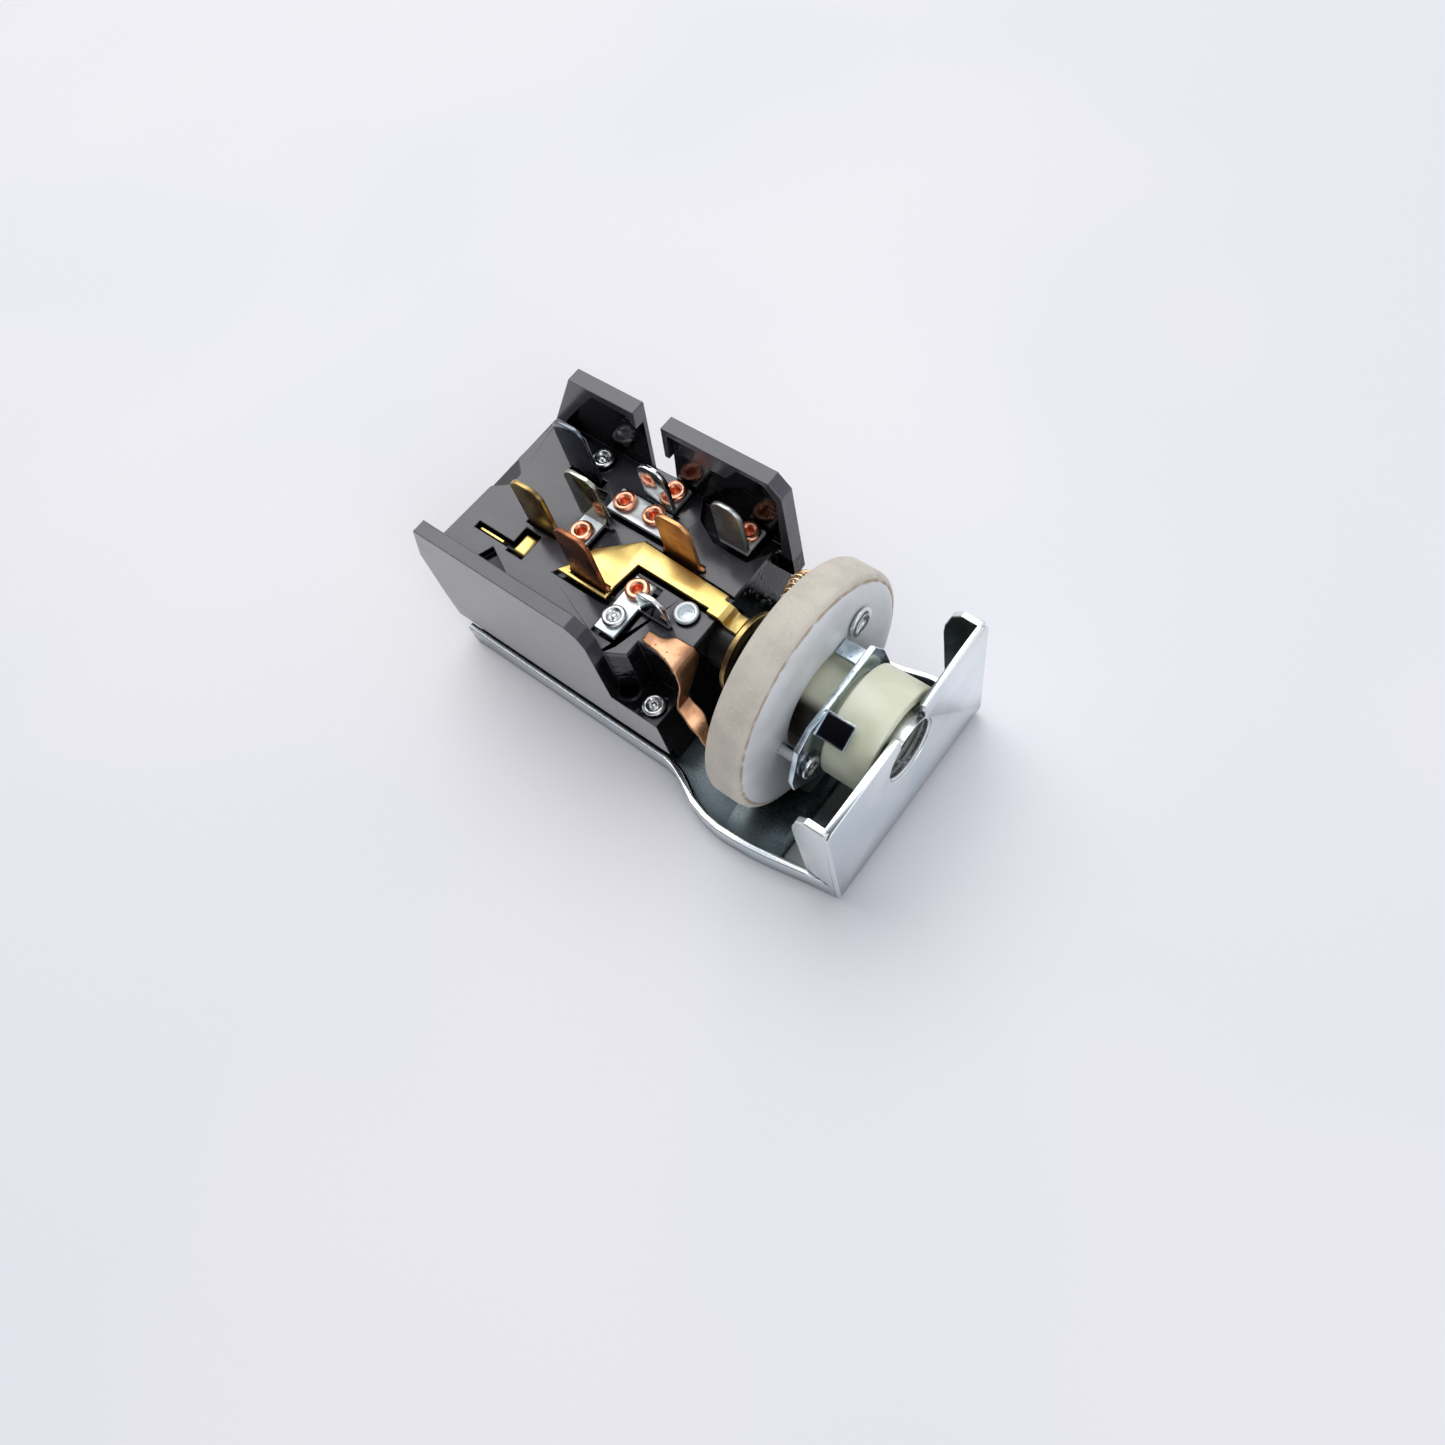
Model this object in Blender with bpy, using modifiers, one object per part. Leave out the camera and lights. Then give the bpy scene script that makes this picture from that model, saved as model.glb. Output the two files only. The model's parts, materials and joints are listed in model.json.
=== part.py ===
"""Pull-out lighting switch with a rotary dimmer on its shaft line.

Local frame of the model, in millimetres: x is measured from the shaft line, y runs back from
the panel face of the bracket, z runs up from the underside of the bracket's floor.
"""
import math

import bmesh
import bpy
from mathutils import Matrix, Vector

MM = 0.001
GAP = 0.3                    # clearance between pieces that rest on or pass through each other
MERGE = 0.00001              # metres

# Overall places of the local frame in the part's own frame (origin: middle of the base).
SHAFT_X = 1.15
PANEL_Y = -40.75

# Bracket and inner frame plate.
SHEET = 1.1                  # thickness of the bracket's sheet
PLATE_HALF = 18.6            # half width of the panel plate
PLATE_TOP = 27.5
BEND_OUTER = 2.6             # outside radius of the floor-to-plate bend
FLANGE_LOW = 4.0
FLANGE = [
    (0.5, FLANGE_LOW), (0.5, PLATE_TOP - 0.02), (3.8, PLATE_TOP - 0.02), (5.3, 26.0), (6.3, 22.8),
    (6.5, 20.8), (6.1, 9.0), (5.8, FLANGE_LOW),
]
FLOOR_END = 79.2
RAIL_TOP = 4.8
TRAY_HALF = 16.8             # half width of the floor beside the housing
TRAY_RIGHT_WIDE = 18.4
# Near side of the floor as (y, x): it bulges beside the dimmer disc.
NEAR_BULGE = [
    (0.0, -18.5), (3.0, -18.8), (6.0, -19.3), (9.0, -19.9), (12.0, -20.5), (15.0, -20.95), (18.0, -21.2),
    (21.0, -21.3), (24.0, -20.95), (27.0, -20.1), (29.0, -19.0), (31.0, -17.95), (33.0, -17.2), (35.0, -16.8),
]
HOLE_R = 5.05                # threaded hole that takes the panel nut
COLLAR_R = 6.2
COLLAR_END = 3.9
SLOT_LEFT = -2.2             # the hole is open to the plate's top edge
SLOT_RIGHT = 3.5
INNER_LOW = SHEET + GAP
INNER_TOP = INNER_LOW + 0.8
INNER_FRONT = 11.1

# Shaft line and dimmer.
AXIS_Z = 20.4
BORE_R = 3.6
HUB_R = 8.7
HUB_FRONT = 1.8
HUB_STEP = 9.0
SLEEVE_R = 6.6
SLEEVE_END = 24.6
SPIGOT_R = 4.3
SPIGOT_END = 34.6
DISC_R = 19.0
DISC_HOLE_R = 7.9
DISC_FRONT = 14.6
DISC_REAR = 20.9
GROOVE_FLOOR = 19.6          # floor of the annular groove that the winding lies in
COIL_R = 14.4
COIL_WIRE = 1.4
COIL_ARC = 300.0             # degrees of the disc that the winding covers
DRIVER_FRONT = 10.0
DRIVER_THICK = 0.9
FRONT_TAB = [(-4.2, 29.2), (-4.7, 28.5), (-7.1, 26.7), (-7.7, 27.4)]
TAB_END = 5.4
DISC_RIVET = (8.9, 28.9)     # x, z of the eyelet in the disc's front face
DISC_RIVET_R = 2.4
DRIVER_RIVET = (-10.0, 21.8)
RING_FRONT = 27.4            # contact ring that the brass bus bar touches
WASHER_FRONT = 25.6

# Terminal housing.
HALF = 15.86
WALL = 2.4
HOUSING_LOW = INNER_TOP + GAP
BAND_TOP = 6.0               # the sides step in below this height
BAND_STEP = 1.0
BOARD_TOP = 26.4
BOARD_THICK = 2.4
BOARD_LOW = BOARD_TOP - BOARD_THICK
BLOCK_FRONT = 32.4
SHELF_FRONT = 34.0
SHELF_TOP = 15.7
REAR = 81.4
NEAR_TOP = 33.8
NEAR_FRONT = 43.0
FAR_TOP = 42.2
POCKET_X = 15.15             # the far walls are thinned from inside up to here
CAVITY_HALF = 12.6
CAVITY_FRONT = 36.0
CAVITY_MAIN = 46.6
CAVITY_END = 77.4

STRIP_BED = 0.6              # depth of the beds under the stamped strips
FAR_BED = 0.9                # depth of the bed under the far front blade
LINK_LOW = BOARD_LOW + 0.6   # underside of the brass link in its slots
SHELF_RING_R = 2.1           # raised ring round the hole in the shelf
SHELF_HOLE_R = 1.5

# Carriage and its parts.
CARRIAGE_HALF = 11.8
CARRIAGE_FRONT = 59.8
CARRIAGE_REAR = 76.8
CARRIAGE_LOW = 3.2
CARRIAGE_TOP = 20.9
CRADLE_R = 3.7
BRIDGE_X = 8.2
BRIDGE_LOW = 21.5
BRIDGE_THICK = 0.8
SPRING_Y = 68.3              # the bridge springs and the detent sit over this line
SPRING_LOW = 13.6
BALL_X = -10.75
BALL_Z = 12.0
BALL_R = 1.5
LATCH_FRONT = 72.8
LATCH_THICK = 0.8

# Shaft release button on the far side.
BUTTON_Y = 61.2
BUTTON_Z = 12.0
BUTTON_R = 3.1
BUTTON_OUT = 18.2
BUTTON_HEAD = 2.0
BUTTON_SEAT = 13.6           # shoulder in the housing that the button's spring rests on
PIN_R = 1.6

SIDES = ((-1, "near"), (1, "far"))

BLADE = 0.8                  # thickness of a blade terminal
WIDE_BLADE = 6.35
NARROW_BLADE = 5.2
STRIP = 0.7                  # thickness of the stamped strips on the board
RIVET_HEAD_R = 1.9
RIVET_SHANK_R = 0.95

COLOURS = {
    "zinc": ((0.62, 0.66, 0.68), 0.32, 1.0),
    "phenolic": ((0.015, 0.015, 0.018), 0.25, 0.0),
    "carrier": ((0.10, 0.05, 0.03), 0.45, 0.0),
    "ceramic": ((0.56, 0.52, 0.45), 0.80, 0.0),
    "nylon": ((0.62, 0.64, 0.50), 0.35, 0.0),
    "brass": ((0.75, 0.56, 0.22), 0.30, 1.0),
    "copper": ((0.72, 0.34, 0.20), 0.30, 1.0),
    "tinned": ((0.70, 0.74, 0.75), 0.25, 1.0),
    "steel": ((0.55, 0.57, 0.58), 0.30, 1.0),
    "resistance": ((0.60, 0.42, 0.25), 0.40, 1.0),
    "red": ((0.45, 0.05, 0.04), 0.40, 0.0),
}


# ------------------------------------------------------------------ scene and helpers

def clear_scene():
    for item in list(bpy.data.objects):
        bpy.data.objects.remove(item, do_unlink=True)


clear_scene()
PARTS = bpy.data.collections.new("lighting_switch")
CUTTERS = bpy.data.collections.new("cutters")
for group in (PARTS, CUTTERS):
    bpy.context.scene.collection.children.link(group)


def material(name):
    known = bpy.data.materials.get(name)
    if known:
        return known
    colour, roughness, metallic = COLOURS[name]
    made = bpy.data.materials.new(name)
    made.use_nodes = True
    shader = made.node_tree.nodes["Principled BSDF"]
    shader.inputs["Base Color"].default_value = (*colour, 1.0)
    shader.inputs["Roughness"].default_value = roughness
    shader.inputs["Metallic"].default_value = metallic
    return made


def empty(name, place, parent=None):
    made = bpy.data.objects.new(name, None)
    made.location = Vector(place) * MM
    made.parent = parent
    PARTS.objects.link(made)
    return made


DATUM = empty("shaft_datum", (SHAFT_X, PANEL_Y, 0.0))
PIVOTS = {
    "root": (DATUM, Vector((0.0, 0.0, 0.0))),
    "dimmer": (empty("dimmer_axis", (0, DISC_FRONT, AXIS_Z), DATUM), Vector((0, DISC_FRONT, AXIS_Z))),
    "carriage": (
        empty("carriage_axis", (0, CARRIAGE_FRONT, AXIS_Z), DATUM),
        Vector((0, CARRIAGE_FRONT, AXIS_Z)),
    ),
    "button": (
        empty("button_axis", (HALF, BUTTON_Y, BUTTON_Z), DATUM),
        Vector((HALF, BUTTON_Y, BUTTON_Z)),
    ),
}


def add(name, mesh, finish=None, body="root"):
    """Link a mesh given in metres in the local frame as a part, or as a cutter without a finish."""
    parent, pivot = PIVOTS[body]
    mesh.transform(Matrix.Translation(-pivot * MM))
    made = bpy.data.objects.new(name, mesh)
    made.parent = parent
    if finish is None:
        CUTTERS.objects.link(made)
        made.hide_render = True
        made.display_type = "WIRE"
    else:
        PARTS.objects.link(made)
        mesh.materials.append(material(finish))
    return made


def boolean(target, tool, operation="DIFFERENCE"):
    step = target.modifiers.new(tool.name, "BOOLEAN")
    step.operation = operation
    step.object = tool
    step.solver = "EXACT"
    return target


def to_mesh(holder, matrix):
    """Turn a curve object into a welded mesh in the local frame and remove the curve."""
    bpy.context.scene.collection.objects.link(holder)
    view = bpy.context.evaluated_depsgraph_get()
    mesh = bpy.data.meshes.new_from_object(holder.evaluated_get(view))
    curve = holder.data
    bpy.data.objects.remove(holder)
    bpy.data.curves.remove(curve)
    work = bmesh.new()
    work.from_mesh(mesh)
    bmesh.ops.remove_doubles(work, verts=work.verts, dist=MERGE)
    bmesh.ops.transform(work, matrix=matrix, verts=work.verts)
    bmesh.ops.recalc_face_normals(work, faces=work.faces)
    work.to_mesh(mesh)
    work.free()
    return mesh


AXES = {
    "Z": Matrix.Identity(3),
    "Y": Matrix(((1, 0, 0), (0, 0, 1), (0, 1, 0))),
    "X": Matrix(((0, 0, 1), (1, 0, 0), (0, 1, 0))),
}


def prism_mesh(name, outlines, low, high, axis="Z"):
    """Flat outlines extruded from low to high; inner outlines are holes.

    Outline points are (x, y) for axis Z, (x, z) for axis Y and (y, z) for axis X.
    """
    flat = bpy.data.curves.new(name, "CURVE")
    flat.dimensions = "2D"
    flat.fill_mode = "BOTH"
    flat.extrude = (high - low) / 2 * MM
    for outline in outlines:
        line = flat.splines.new("POLY")
        line.points.add(len(outline) - 1)
        for spot, (u, v) in zip(line.points, outline):
            spot.co = (u * MM, v * MM, 0.0, 1.0)
        line.use_cyclic_u = True
    middle = Vector((0.0, 0.0, (low + high) / 2 * MM))
    turn = AXES[axis].to_4x4()
    return to_mesh(bpy.data.objects.new(name, flat), turn @ Matrix.Translation(middle))


def prism(name, outline, low, high, axis="Z", finish=None, body="root", holes=()):
    return add(name, prism_mesh(name, [outline, *holes], low, high, axis), finish, body)


def box(name, low, high, finish=None, body="root"):
    work = bmesh.new()
    bmesh.ops.create_cube(work, size=1.0)
    size = [b - a for a, b in zip(low, high)]
    middle = [(a + b) / 2 for a, b in zip(low, high)]
    bmesh.ops.scale(work, vec=Vector(size) * MM, verts=work.verts)
    bmesh.ops.translate(work, vec=Vector(middle) * MM, verts=work.verts)
    mesh = bpy.data.meshes.new(name)
    work.to_mesh(mesh)
    work.free()
    return add(name, mesh, finish, body)


TURNS = {
    "Y": Matrix(((1, 0, 0), (0, 0, 1), (0, -1, 0))),
    "Z": Matrix.Identity(3),
    "X": Matrix(((0, 0, 1), (0, 1, 0), (-1, 0, 0))),
}


def turned(name, profile, centre, axis="Z", finish=None, body="root", steps=32, sweep=360.0):
    """A turned body: profile points are (radius, height), down the outer side, up the inner."""
    closed = profile[0][0] > 0 or profile[-1][0] > 0
    mesh = bpy.data.meshes.new(name)
    points = [(r * MM, 0.0, h * MM) for r, h in profile]
    edges = [(i, i + 1) for i in range(len(points) - 1)]
    if closed:
        edges.append((len(points) - 1, 0))
    mesh.from_pydata(points, edges, [])
    made = add(name, mesh, finish, body)
    pivot = PIVOTS[body][1]
    mesh.transform(Matrix.Translation(pivot * MM))
    made.matrix_local = Matrix.Translation((Vector(centre) - pivot) * MM) @ TURNS[axis].to_4x4()
    screw = made.modifiers.new("turn", "SCREW")
    screw.angle = math.radians(sweep)
    screw.steps = steps
    screw.render_steps = steps
    screw.use_merge_vertices = True
    screw.merge_threshold = MERGE
    screw.use_smooth_shade = True
    return made


def ring(inner, outer, low, high):
    return [(outer, high), (outer, low), (inner, low), (inner, high)]


def rod(radius, low, high):
    return [(0, high), (radius, high), (radius, low), (0, low)]


def rect(u0, v0, u1, v1):
    return [(u0, v0), (u1, v0), (u1, v1), (u0, v1)]


def arc(centre, radius, start, end, count=10):
    """Points on an arc, angles in degrees."""
    found = []
    for i in range(count + 1):
        angle = math.radians(start + (end - start) * i / count)
        found.append((centre[0] + radius * math.cos(angle), centre[1] + radius * math.sin(angle)))
    return found


def circle(centre, radius, count=20):
    return arc(centre, radius, 0.0, 360.0 * (count - 1) / count, count - 1)


def rounded(points, radius, count=3):
    """Round every corner of an outline."""
    found = []
    total = len(points)
    for i, here in enumerate(points):
        corner = Vector(here)
        back = (Vector(points[i - 1]) - corner)
        ahead = (Vector(points[(i + 1) % total]) - corner)
        reach = min(radius, back.length * 0.45, ahead.length * 0.45)
        first = corner + back.normalized() * reach
        last = corner + ahead.normalized() * reach
        for j in range(count + 1):
            t = j / count
            spot = first * (1 - t) ** 2 + corner * 2 * t * (1 - t) + last * t ** 2
            found.append((spot.x, spot.y))
    return found


def band(path, thickness):
    """Outline of a strip of even thickness that follows a bent path."""
    spots = [Vector(p) for p in path]
    sides = []
    for i, here in enumerate(spots):
        before = (here - spots[i - 1]).normalized() if i else None
        after = (spots[i + 1] - here).normalized() if i + 1 < len(spots) else None
        along = ((before or after) + (after or before)).normalized()
        across = Vector((-along.y, along.x))
        cosine = along.dot(after or before)
        sides.append((here, across * (thickness / 2 / max(cosine, 0.4))))
    left = [(p + n) for p, n in sides]
    right = [(p - n) for p, n in reversed(sides)]
    return [(p.x, p.y) for p in left + right]


def tube(name, points, wire_r, finish, body="root", resolution=2):
    """Round wire along points given in the local frame."""
    wire = bpy.data.curves.new(name, "CURVE")
    wire.dimensions = "3D"
    wire.bevel_depth = wire_r * MM
    wire.bevel_resolution = resolution
    wire.use_fill_caps = True
    line = wire.splines.new("POLY")
    line.points.add(len(points) - 1)
    for spot, place in zip(line.points, points):
        spot.co = (*(Vector(place) * MM), 1.0)
    return add(name, to_mesh(bpy.data.objects.new(name, wire), Matrix.Identity(4)), finish, body)


def helix(radius, length, turns, per_turn=9):
    """Points of a spring that starts at the origin and rises along +Z."""
    total = int(turns * per_turn)
    found = []
    for i in range(total + 1):
        angle = 2 * math.pi * i / per_turn
        found.append(Vector((radius * math.cos(angle), radius * math.sin(angle), length * i / total)))
    return found


def shank_holes(name, spots, low, high):
    """One cutter with an upright pin at each (x, y), for shanks that pass a sheet or the board."""
    work = bmesh.new()
    middle = (low + high) / 2
    for x, y in spots:
        radius = (RIVET_SHANK_R + GAP) * MM
        bmesh.ops.create_cone(
            work, cap_ends=True, segments=14, radius1=radius, radius2=radius,
            depth=(high - low) * MM, matrix=Matrix.Translation(Vector((x, y, middle)) * MM),
        )
    mesh = bpy.data.meshes.new(name)
    work.to_mesh(mesh)
    work.free()
    return add(name, mesh)


def drop_repeats(points):
    """Leave out points that fall on their neighbour or on the line through their neighbours."""
    kept = []
    for spot in points:
        if not kept or (Vector(spot) - Vector(kept[-1])).length > 0.05:
            kept.append(spot)
    clean = []
    for i, spot in enumerate(kept):
        a = Vector(kept[i - 1])
        b = Vector(kept[(i + 1) % len(kept)])
        here = Vector(spot)
        turn = (here - a).cross(b - here)
        if abs(turn) > 0.001:
            clean.append(spot)
    return clean


# ------------------------------------------------------------------ bracket and frame plate

def blend(value, start, end):
    """Smooth step from 0 at start to 1 at end."""
    t = min(max((value - start) / (end - start), 0.0), 1.0)
    return t * t * (3 - 2 * t)


def tray_outline(inset, front, rear):
    """Outline of the floor: wide beside the dimmer, narrow beside the housing."""
    left = [(x + inset, max(y, front)) for y, x in NEAR_BULGE]
    right = []
    for i in range(5):
        y = 7.0 + i * 2.0
        wide = TRAY_RIGHT_WIDE + (TRAY_HALF - TRAY_RIGHT_WIDE) * blend(y, 7.0, 15.0)
        right.append((wide - inset, max(y, front)))
    start = [(TRAY_RIGHT_WIDE - inset, front)]
    end = [(TRAY_HALF - inset, rear), (-TRAY_HALF + inset, rear)]
    return drop_repeats(start + right + end + left[::-1])


def plate_outline():
    """Panel plate with its nut hole open to the top edge."""
    right = math.degrees(math.asin(SLOT_RIGHT / HOLE_R))
    left = math.degrees(math.asin(SLOT_LEFT / HOLE_R))
    hole = arc((0.0, AXIS_Z), HOLE_R, 90 - right, -270 - left, 26)
    top_right = [(PLATE_HALF, PLATE_TOP - 1.0), (PLATE_HALF - 1.0, PLATE_TOP), (SLOT_RIGHT, PLATE_TOP)]
    top_left = [(SLOT_LEFT, PLATE_TOP), (1.0 - PLATE_HALF, PLATE_TOP), (-PLATE_HALF, PLATE_TOP - 1.0)]
    return [(-PLATE_HALF, 0.0), (PLATE_HALF, 0.0)] + top_right + hole + top_left


def mounting_bracket():
    """Pressed tray with side rails, bent up into the panel plate with its flanges and collar."""
    tray = prism("mounting_bracket", tray_outline(0.0, 0.6, FLOOR_END), 0.0, RAIL_TOP, finish="zinc")
    hollow = prism("tray_hollow", tray_outline(SHEET, 0.2, FLOOR_END + 2.0), SHEET, RAIL_TOP + 1.0)
    boolean(tray, hollow)
    plate = prism("panel_plate", plate_outline(), 0.0, SHEET, "Y")
    boolean(tray, plate, "UNION")
    for side in (-1, 1):
        outer = side * PLATE_HALF
        inner = side * (PLATE_HALF - SHEET)
        wing = prism("flange", FLANGE, min(outer, inner), max(outer, inner), "X")
        boolean(tray, wing, "UNION")
    open_right = math.degrees(math.acos(SLOT_RIGHT / HOLE_R))
    open_left = math.degrees(math.acos(SLOT_LEFT / HOLE_R))
    collar = arc((0, AXIS_Z), COLLAR_R, open_left, 360 + open_right, 24)
    collar += arc((0, AXIS_Z), HOLE_R, 360 + open_right, open_left, 24)
    boolean(tray, prism("nut_collar", collar, SHEET - 0.4, COLLAR_END, "Y"), "UNION")
    fillet = [(SHEET - 0.3, SHEET - 0.3), (SHEET + 1.5, SHEET - 0.3)]
    fillet += arc((SHEET + 1.5, SHEET + 1.5), 1.5, 270, 180, 4) + [(SHEET - 0.3, SHEET + 1.5)]
    boolean(tray, prism("bend_fillet", fillet, -PLATE_HALF + 0.2, TRAY_RIGHT_WIDE - 0.4, "X"), "UNION")
    corner = [(-1.0, -1.0), (BEND_OUTER, -1.0)]
    corner += arc((BEND_OUTER, BEND_OUTER), BEND_OUTER, 270, 180, 6) + [(-1.0, BEND_OUTER)]
    boolean(tray, prism("bend_outside", corner, -24.0, 24.0, "X"))


def frame_plate():
    """Inner sheet that carries the housing, with a window under the dimmer disc."""
    outline = tray_outline(SHEET + GAP, INNER_FRONT, FLOOR_END - 0.6)
    window = rounded(rect(-8.0, 13.4, 8.0, 22.6), 1.0)
    prism("frame_plate", outline, INNER_LOW, INNER_TOP, finish="steel", holes=[window])


# ------------------------------------------------------------------ board layout

# Blades stand in y-z planes: name -> (x, front y, width, top z, finish).
BLADES = {
    "blade_rear_brass": (-2.0, 61.6, WIDE_BLADE, 36.8, "brass"),
    "blade_rear_far": (9.0, 62.4, WIDE_BLADE, 38.2, "tinned"),
    "blade_centre": (3.3, 55.2, WIDE_BLADE, 37.6, "tinned"),
    "blade_bus": (-5.6, 48.8, WIDE_BLADE, 38.8, "copper"),
    "blade_middle": (4.9, 39.6, WIDE_BLADE, 36.2, "copper"),
    "blade_far_middle": (10.5, 48.8, NARROW_BLADE, 35.8, "tinned"),
    "blade_far_front": (10.5, 34.8, NARROW_BLADE, 36.7, "tinned"),
    "blade_dimmer": (-5.2, 36.9, NARROW_BLADE, 32.7, "tinned"),
}
STRIP_LOW = BOARD_TOP + GAP
STRIP_TOP = STRIP_LOW + STRIP
COPPER_ON_STRIP = [(0.0, 58.4), (7.7, 56.2), (8.0, 50.7), (-3.3, 44.5), (13.15, 50.7), (13.15, 36.7)]
STEEL_ON_STRIP = [(-8.6, 44.5)]
STEEL_ON_BOARD = [(-2.2, 36.4), (12.6, 65.2)]
SHELF_RIVET = (-13.3, 36.4)
SHELF_HOLE = (-13.1, 41.6)
BUS_TAIL_X = (-0.6, 2.4)
PAD = rect(-11.3, 42.6, -1.3, 46.4)
LINK = [(5.6, 47.4), (9.7, 48.5), (9.7, 58.4), (5.6, 58.4)]
# Riveted feet: blade -> (outline of the foot, rivet spots through it).
FEET = {
    "blade_centre": (rect(-2.0, 56.6, 3.6, 60.5), COPPER_ON_STRIP[:1]),
    "blade_dimmer": (PAD, [COPPER_ON_STRIP[3], STEEL_ON_STRIP[0]]),
    "blade_far_middle": (rect(10.2, 48.9, 14.8, 52.6), COPPER_ON_STRIP[4:5]),
    "blade_far_front": (rect(10.2, 34.9, 14.8, 38.6), COPPER_ON_STRIP[5:6]),
}
BUS = [
    (-6.9, 47.9), (-4.6, 48.1), (0.2, 47.5), (0.0, 32.8),
    (3.2, 32.8), (3.9, 49.3), (-1.1, 55.0), (-4.4, 55.8), (-6.9, 57.6),
]


# Copper wiper strip along its length: (y, z, middle x, half width).
WIPER_LIE = STRIP_LOW + STRIP / 2
WIPER_THICK = 0.5
WIPER = [
    (39.2, WIPER_LIE, -8.3, 1.0), (36.8, WIPER_LIE, -8.4, 1.2), (35.2, WIPER_LIE, -8.0, 1.75),
    (33.0, WIPER_LIE, -8.15, 2.2), (32.0, WIPER_LIE - 0.2, -8.35, 2.4), (31.5, WIPER_LIE - 0.8, -8.4, 2.5),
    (31.35, 25.0, -8.6, 2.4), (31.3, 22.8, -9.75, 1.8), (31.25, 21.2, -11.1, 1.4), (30.9, 20.2, -11.7, 1.3),
    (30.2, 19.9, -11.9, 1.35), (28.0, 19.7, -12.6, 1.55), (26.8, 19.3, -13.0, 1.3), (25.6, 18.2, -13.7, 0.95),
    (24.4, 17.5, -14.0, 0.8), (23.8, 16.9, -14.1, 0.75), (24.2, 16.2, -14.1, 0.7),
]


def rivet_profile(head_low, length):
    """Rolled eyelet head with a dimple, and its shank below."""
    top = head_low + 0.7
    return [
        (0.0, top - 0.45),
        (0.55, top - 0.4),
        (0.85, top),
        (RIVET_HEAD_R - 0.45, top),
        (RIVET_HEAD_R, head_low + 0.3),
        (RIVET_HEAD_R, head_low),
        (RIVET_SHANK_R, head_low),
        (RIVET_SHANK_R, head_low - length),
        (0.0, head_low - length),
    ]


def rivets(name, spots, finish):
    """Rivets given as (x, y, z under the head, shank length)."""
    for i, (x, y, z, length) in enumerate(spots, 1):
        turned(f"{name}_{i}", rivet_profile(0.0, length), (x, y, z), finish=finish, steps=14)


def board_rivets():
    through_strip = STRIP_TOP + GAP
    on_board = BOARD_TOP + GAP
    depth = BOARD_TOP - BOARD_LOW - 0.1
    copper = [(x, y, through_strip, through_strip - BOARD_TOP + depth) for x, y in COPPER_ON_STRIP]
    rivets("copper_rivet", copper, "copper")
    steel = [(x, y, through_strip, through_strip - BOARD_TOP + depth) for x, y in STEEL_ON_STRIP]
    steel += [(x, y, on_board, GAP + depth) for x, y in STEEL_ON_BOARD]
    steel.append((*SHELF_RIVET, SHELF_TOP + GAP, 3.2))
    rivets("steel_rivet", steel, "steel")


def blade_outline(front, width, low, top, tip=1.6):
    """Blade with a chamfered tip, in the y-z plane."""
    back = front + width
    return [
        (front, low), (back, low), (back, top - tip), (back - 0.35, top - 0.85), (back - 1.0, top - 0.25),
        (back - 1.8, top), (front + 1.8, top), (front + 1.0, top - 0.25), (front + 0.35, top - 0.85),
        (front, top - tip),
    ]


def blades():
    for name, (x, front, width, top, finish) in BLADES.items():
        low = STRIP_LOW + 0.1 if name in FEET else BOARD_LOW + 0.2
        outline = blade_outline(front, width, low, top)
        blade = prism(name, outline, x - BLADE / 2, x + BLADE / 2, "X", finish)
        if name in FEET:
            foot, spots = FEET[name]
            boolean(blade, prism(name + "_foot", foot, STRIP_LOW, STRIP_TOP), "UNION")
            boolean(blade, shank_holes(name + "_holes", spots, 20.0, 30.0))
        if name == "blade_dimmer":
            neck = rect(x - BLADE / 2, front + 3.0, x + BLADE / 2, PAD[0][1] + 0.5)
            boolean(blade, prism("dimmer_neck", neck, STRIP_LOW, STRIP_TOP), "UNION")


def strips():
    """Bus bar, link strip, the brass link seen in the board's slots, and the copper wiper."""
    bus = prism("brass_bus_bar", BUS, STRIP_LOW, STRIP_TOP, finish="brass")
    middle = (STRIP_LOW + STRIP_TOP) / 2
    tail = [
        (34.0, middle), (32.0, middle), (31.3, middle - 0.4), (30.9, middle - 1.2), (30.2, middle - 1.6),
        (RING_FRONT + 1.5, middle - 1.7),
    ]
    boolean(bus, prism("bus_tail", band(tail, STRIP), BUS_TAIL_X[0], BUS_TAIL_X[1], "X"), "UNION")
    slot = blade_slot("bus_blade_slot", "blade_bus", STRIP_LOW - 1.0, STRIP_TOP + 1.0)
    boolean(bus, slot)
    link = prism("rivet_link", LINK, STRIP_LOW, STRIP_TOP, finish="tinned")
    boolean(link, shank_holes("rivet_link_holes", COPPER_ON_STRIP[1:3], 20.0, 30.0))
    pillow = rounded(rect(-7.4, 64.8, -4.3, 66.9), 0.6)
    rear = prism("brass_link", pillow, LINK_LOW, LINK_LOW + 1.3, finish="brass")
    boolean(rear, box("brass_link_neck", (-7.35, 66.0, LINK_LOW), (-6.9, 69.8, LINK_LOW + 0.4)), "UNION")
    boolean(rear, box("brass_link_bar", (-7.4, 69.4, LINK_LOW), (-6.9, 74.4, LINK_LOW + 1.1)), "UNION")
    wiper_strip()


def wiper_strip():
    """Copper strip from the board down the housing's front to the winding behind the disc."""
    path = [row[:2] for row in WIPER]
    mesh = prism_mesh("dimmer_wiper", [band(path, WIPER_THICK)], -1.0, 1.0, "X")
    for vertex in mesh.vertices:
        here = Vector((vertex.co.y, vertex.co.z)) / MM
        _, _, centre, half = min(WIPER, key=lambda row: (Vector(row[:2]) - here).length)
        vertex.co.x = (centre + vertex.co.x / MM * half) * MM
    add("dimmer_wiper", mesh, "copper")


def blade_slot(name, blade, low, high):
    x, front, width, _, _ = BLADES[blade]
    half = BLADE / 2 + GAP
    return box(name, (x - half, front - GAP, low), (x + half, front + width + GAP, high))


# ------------------------------------------------------------------ terminal housing

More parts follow.
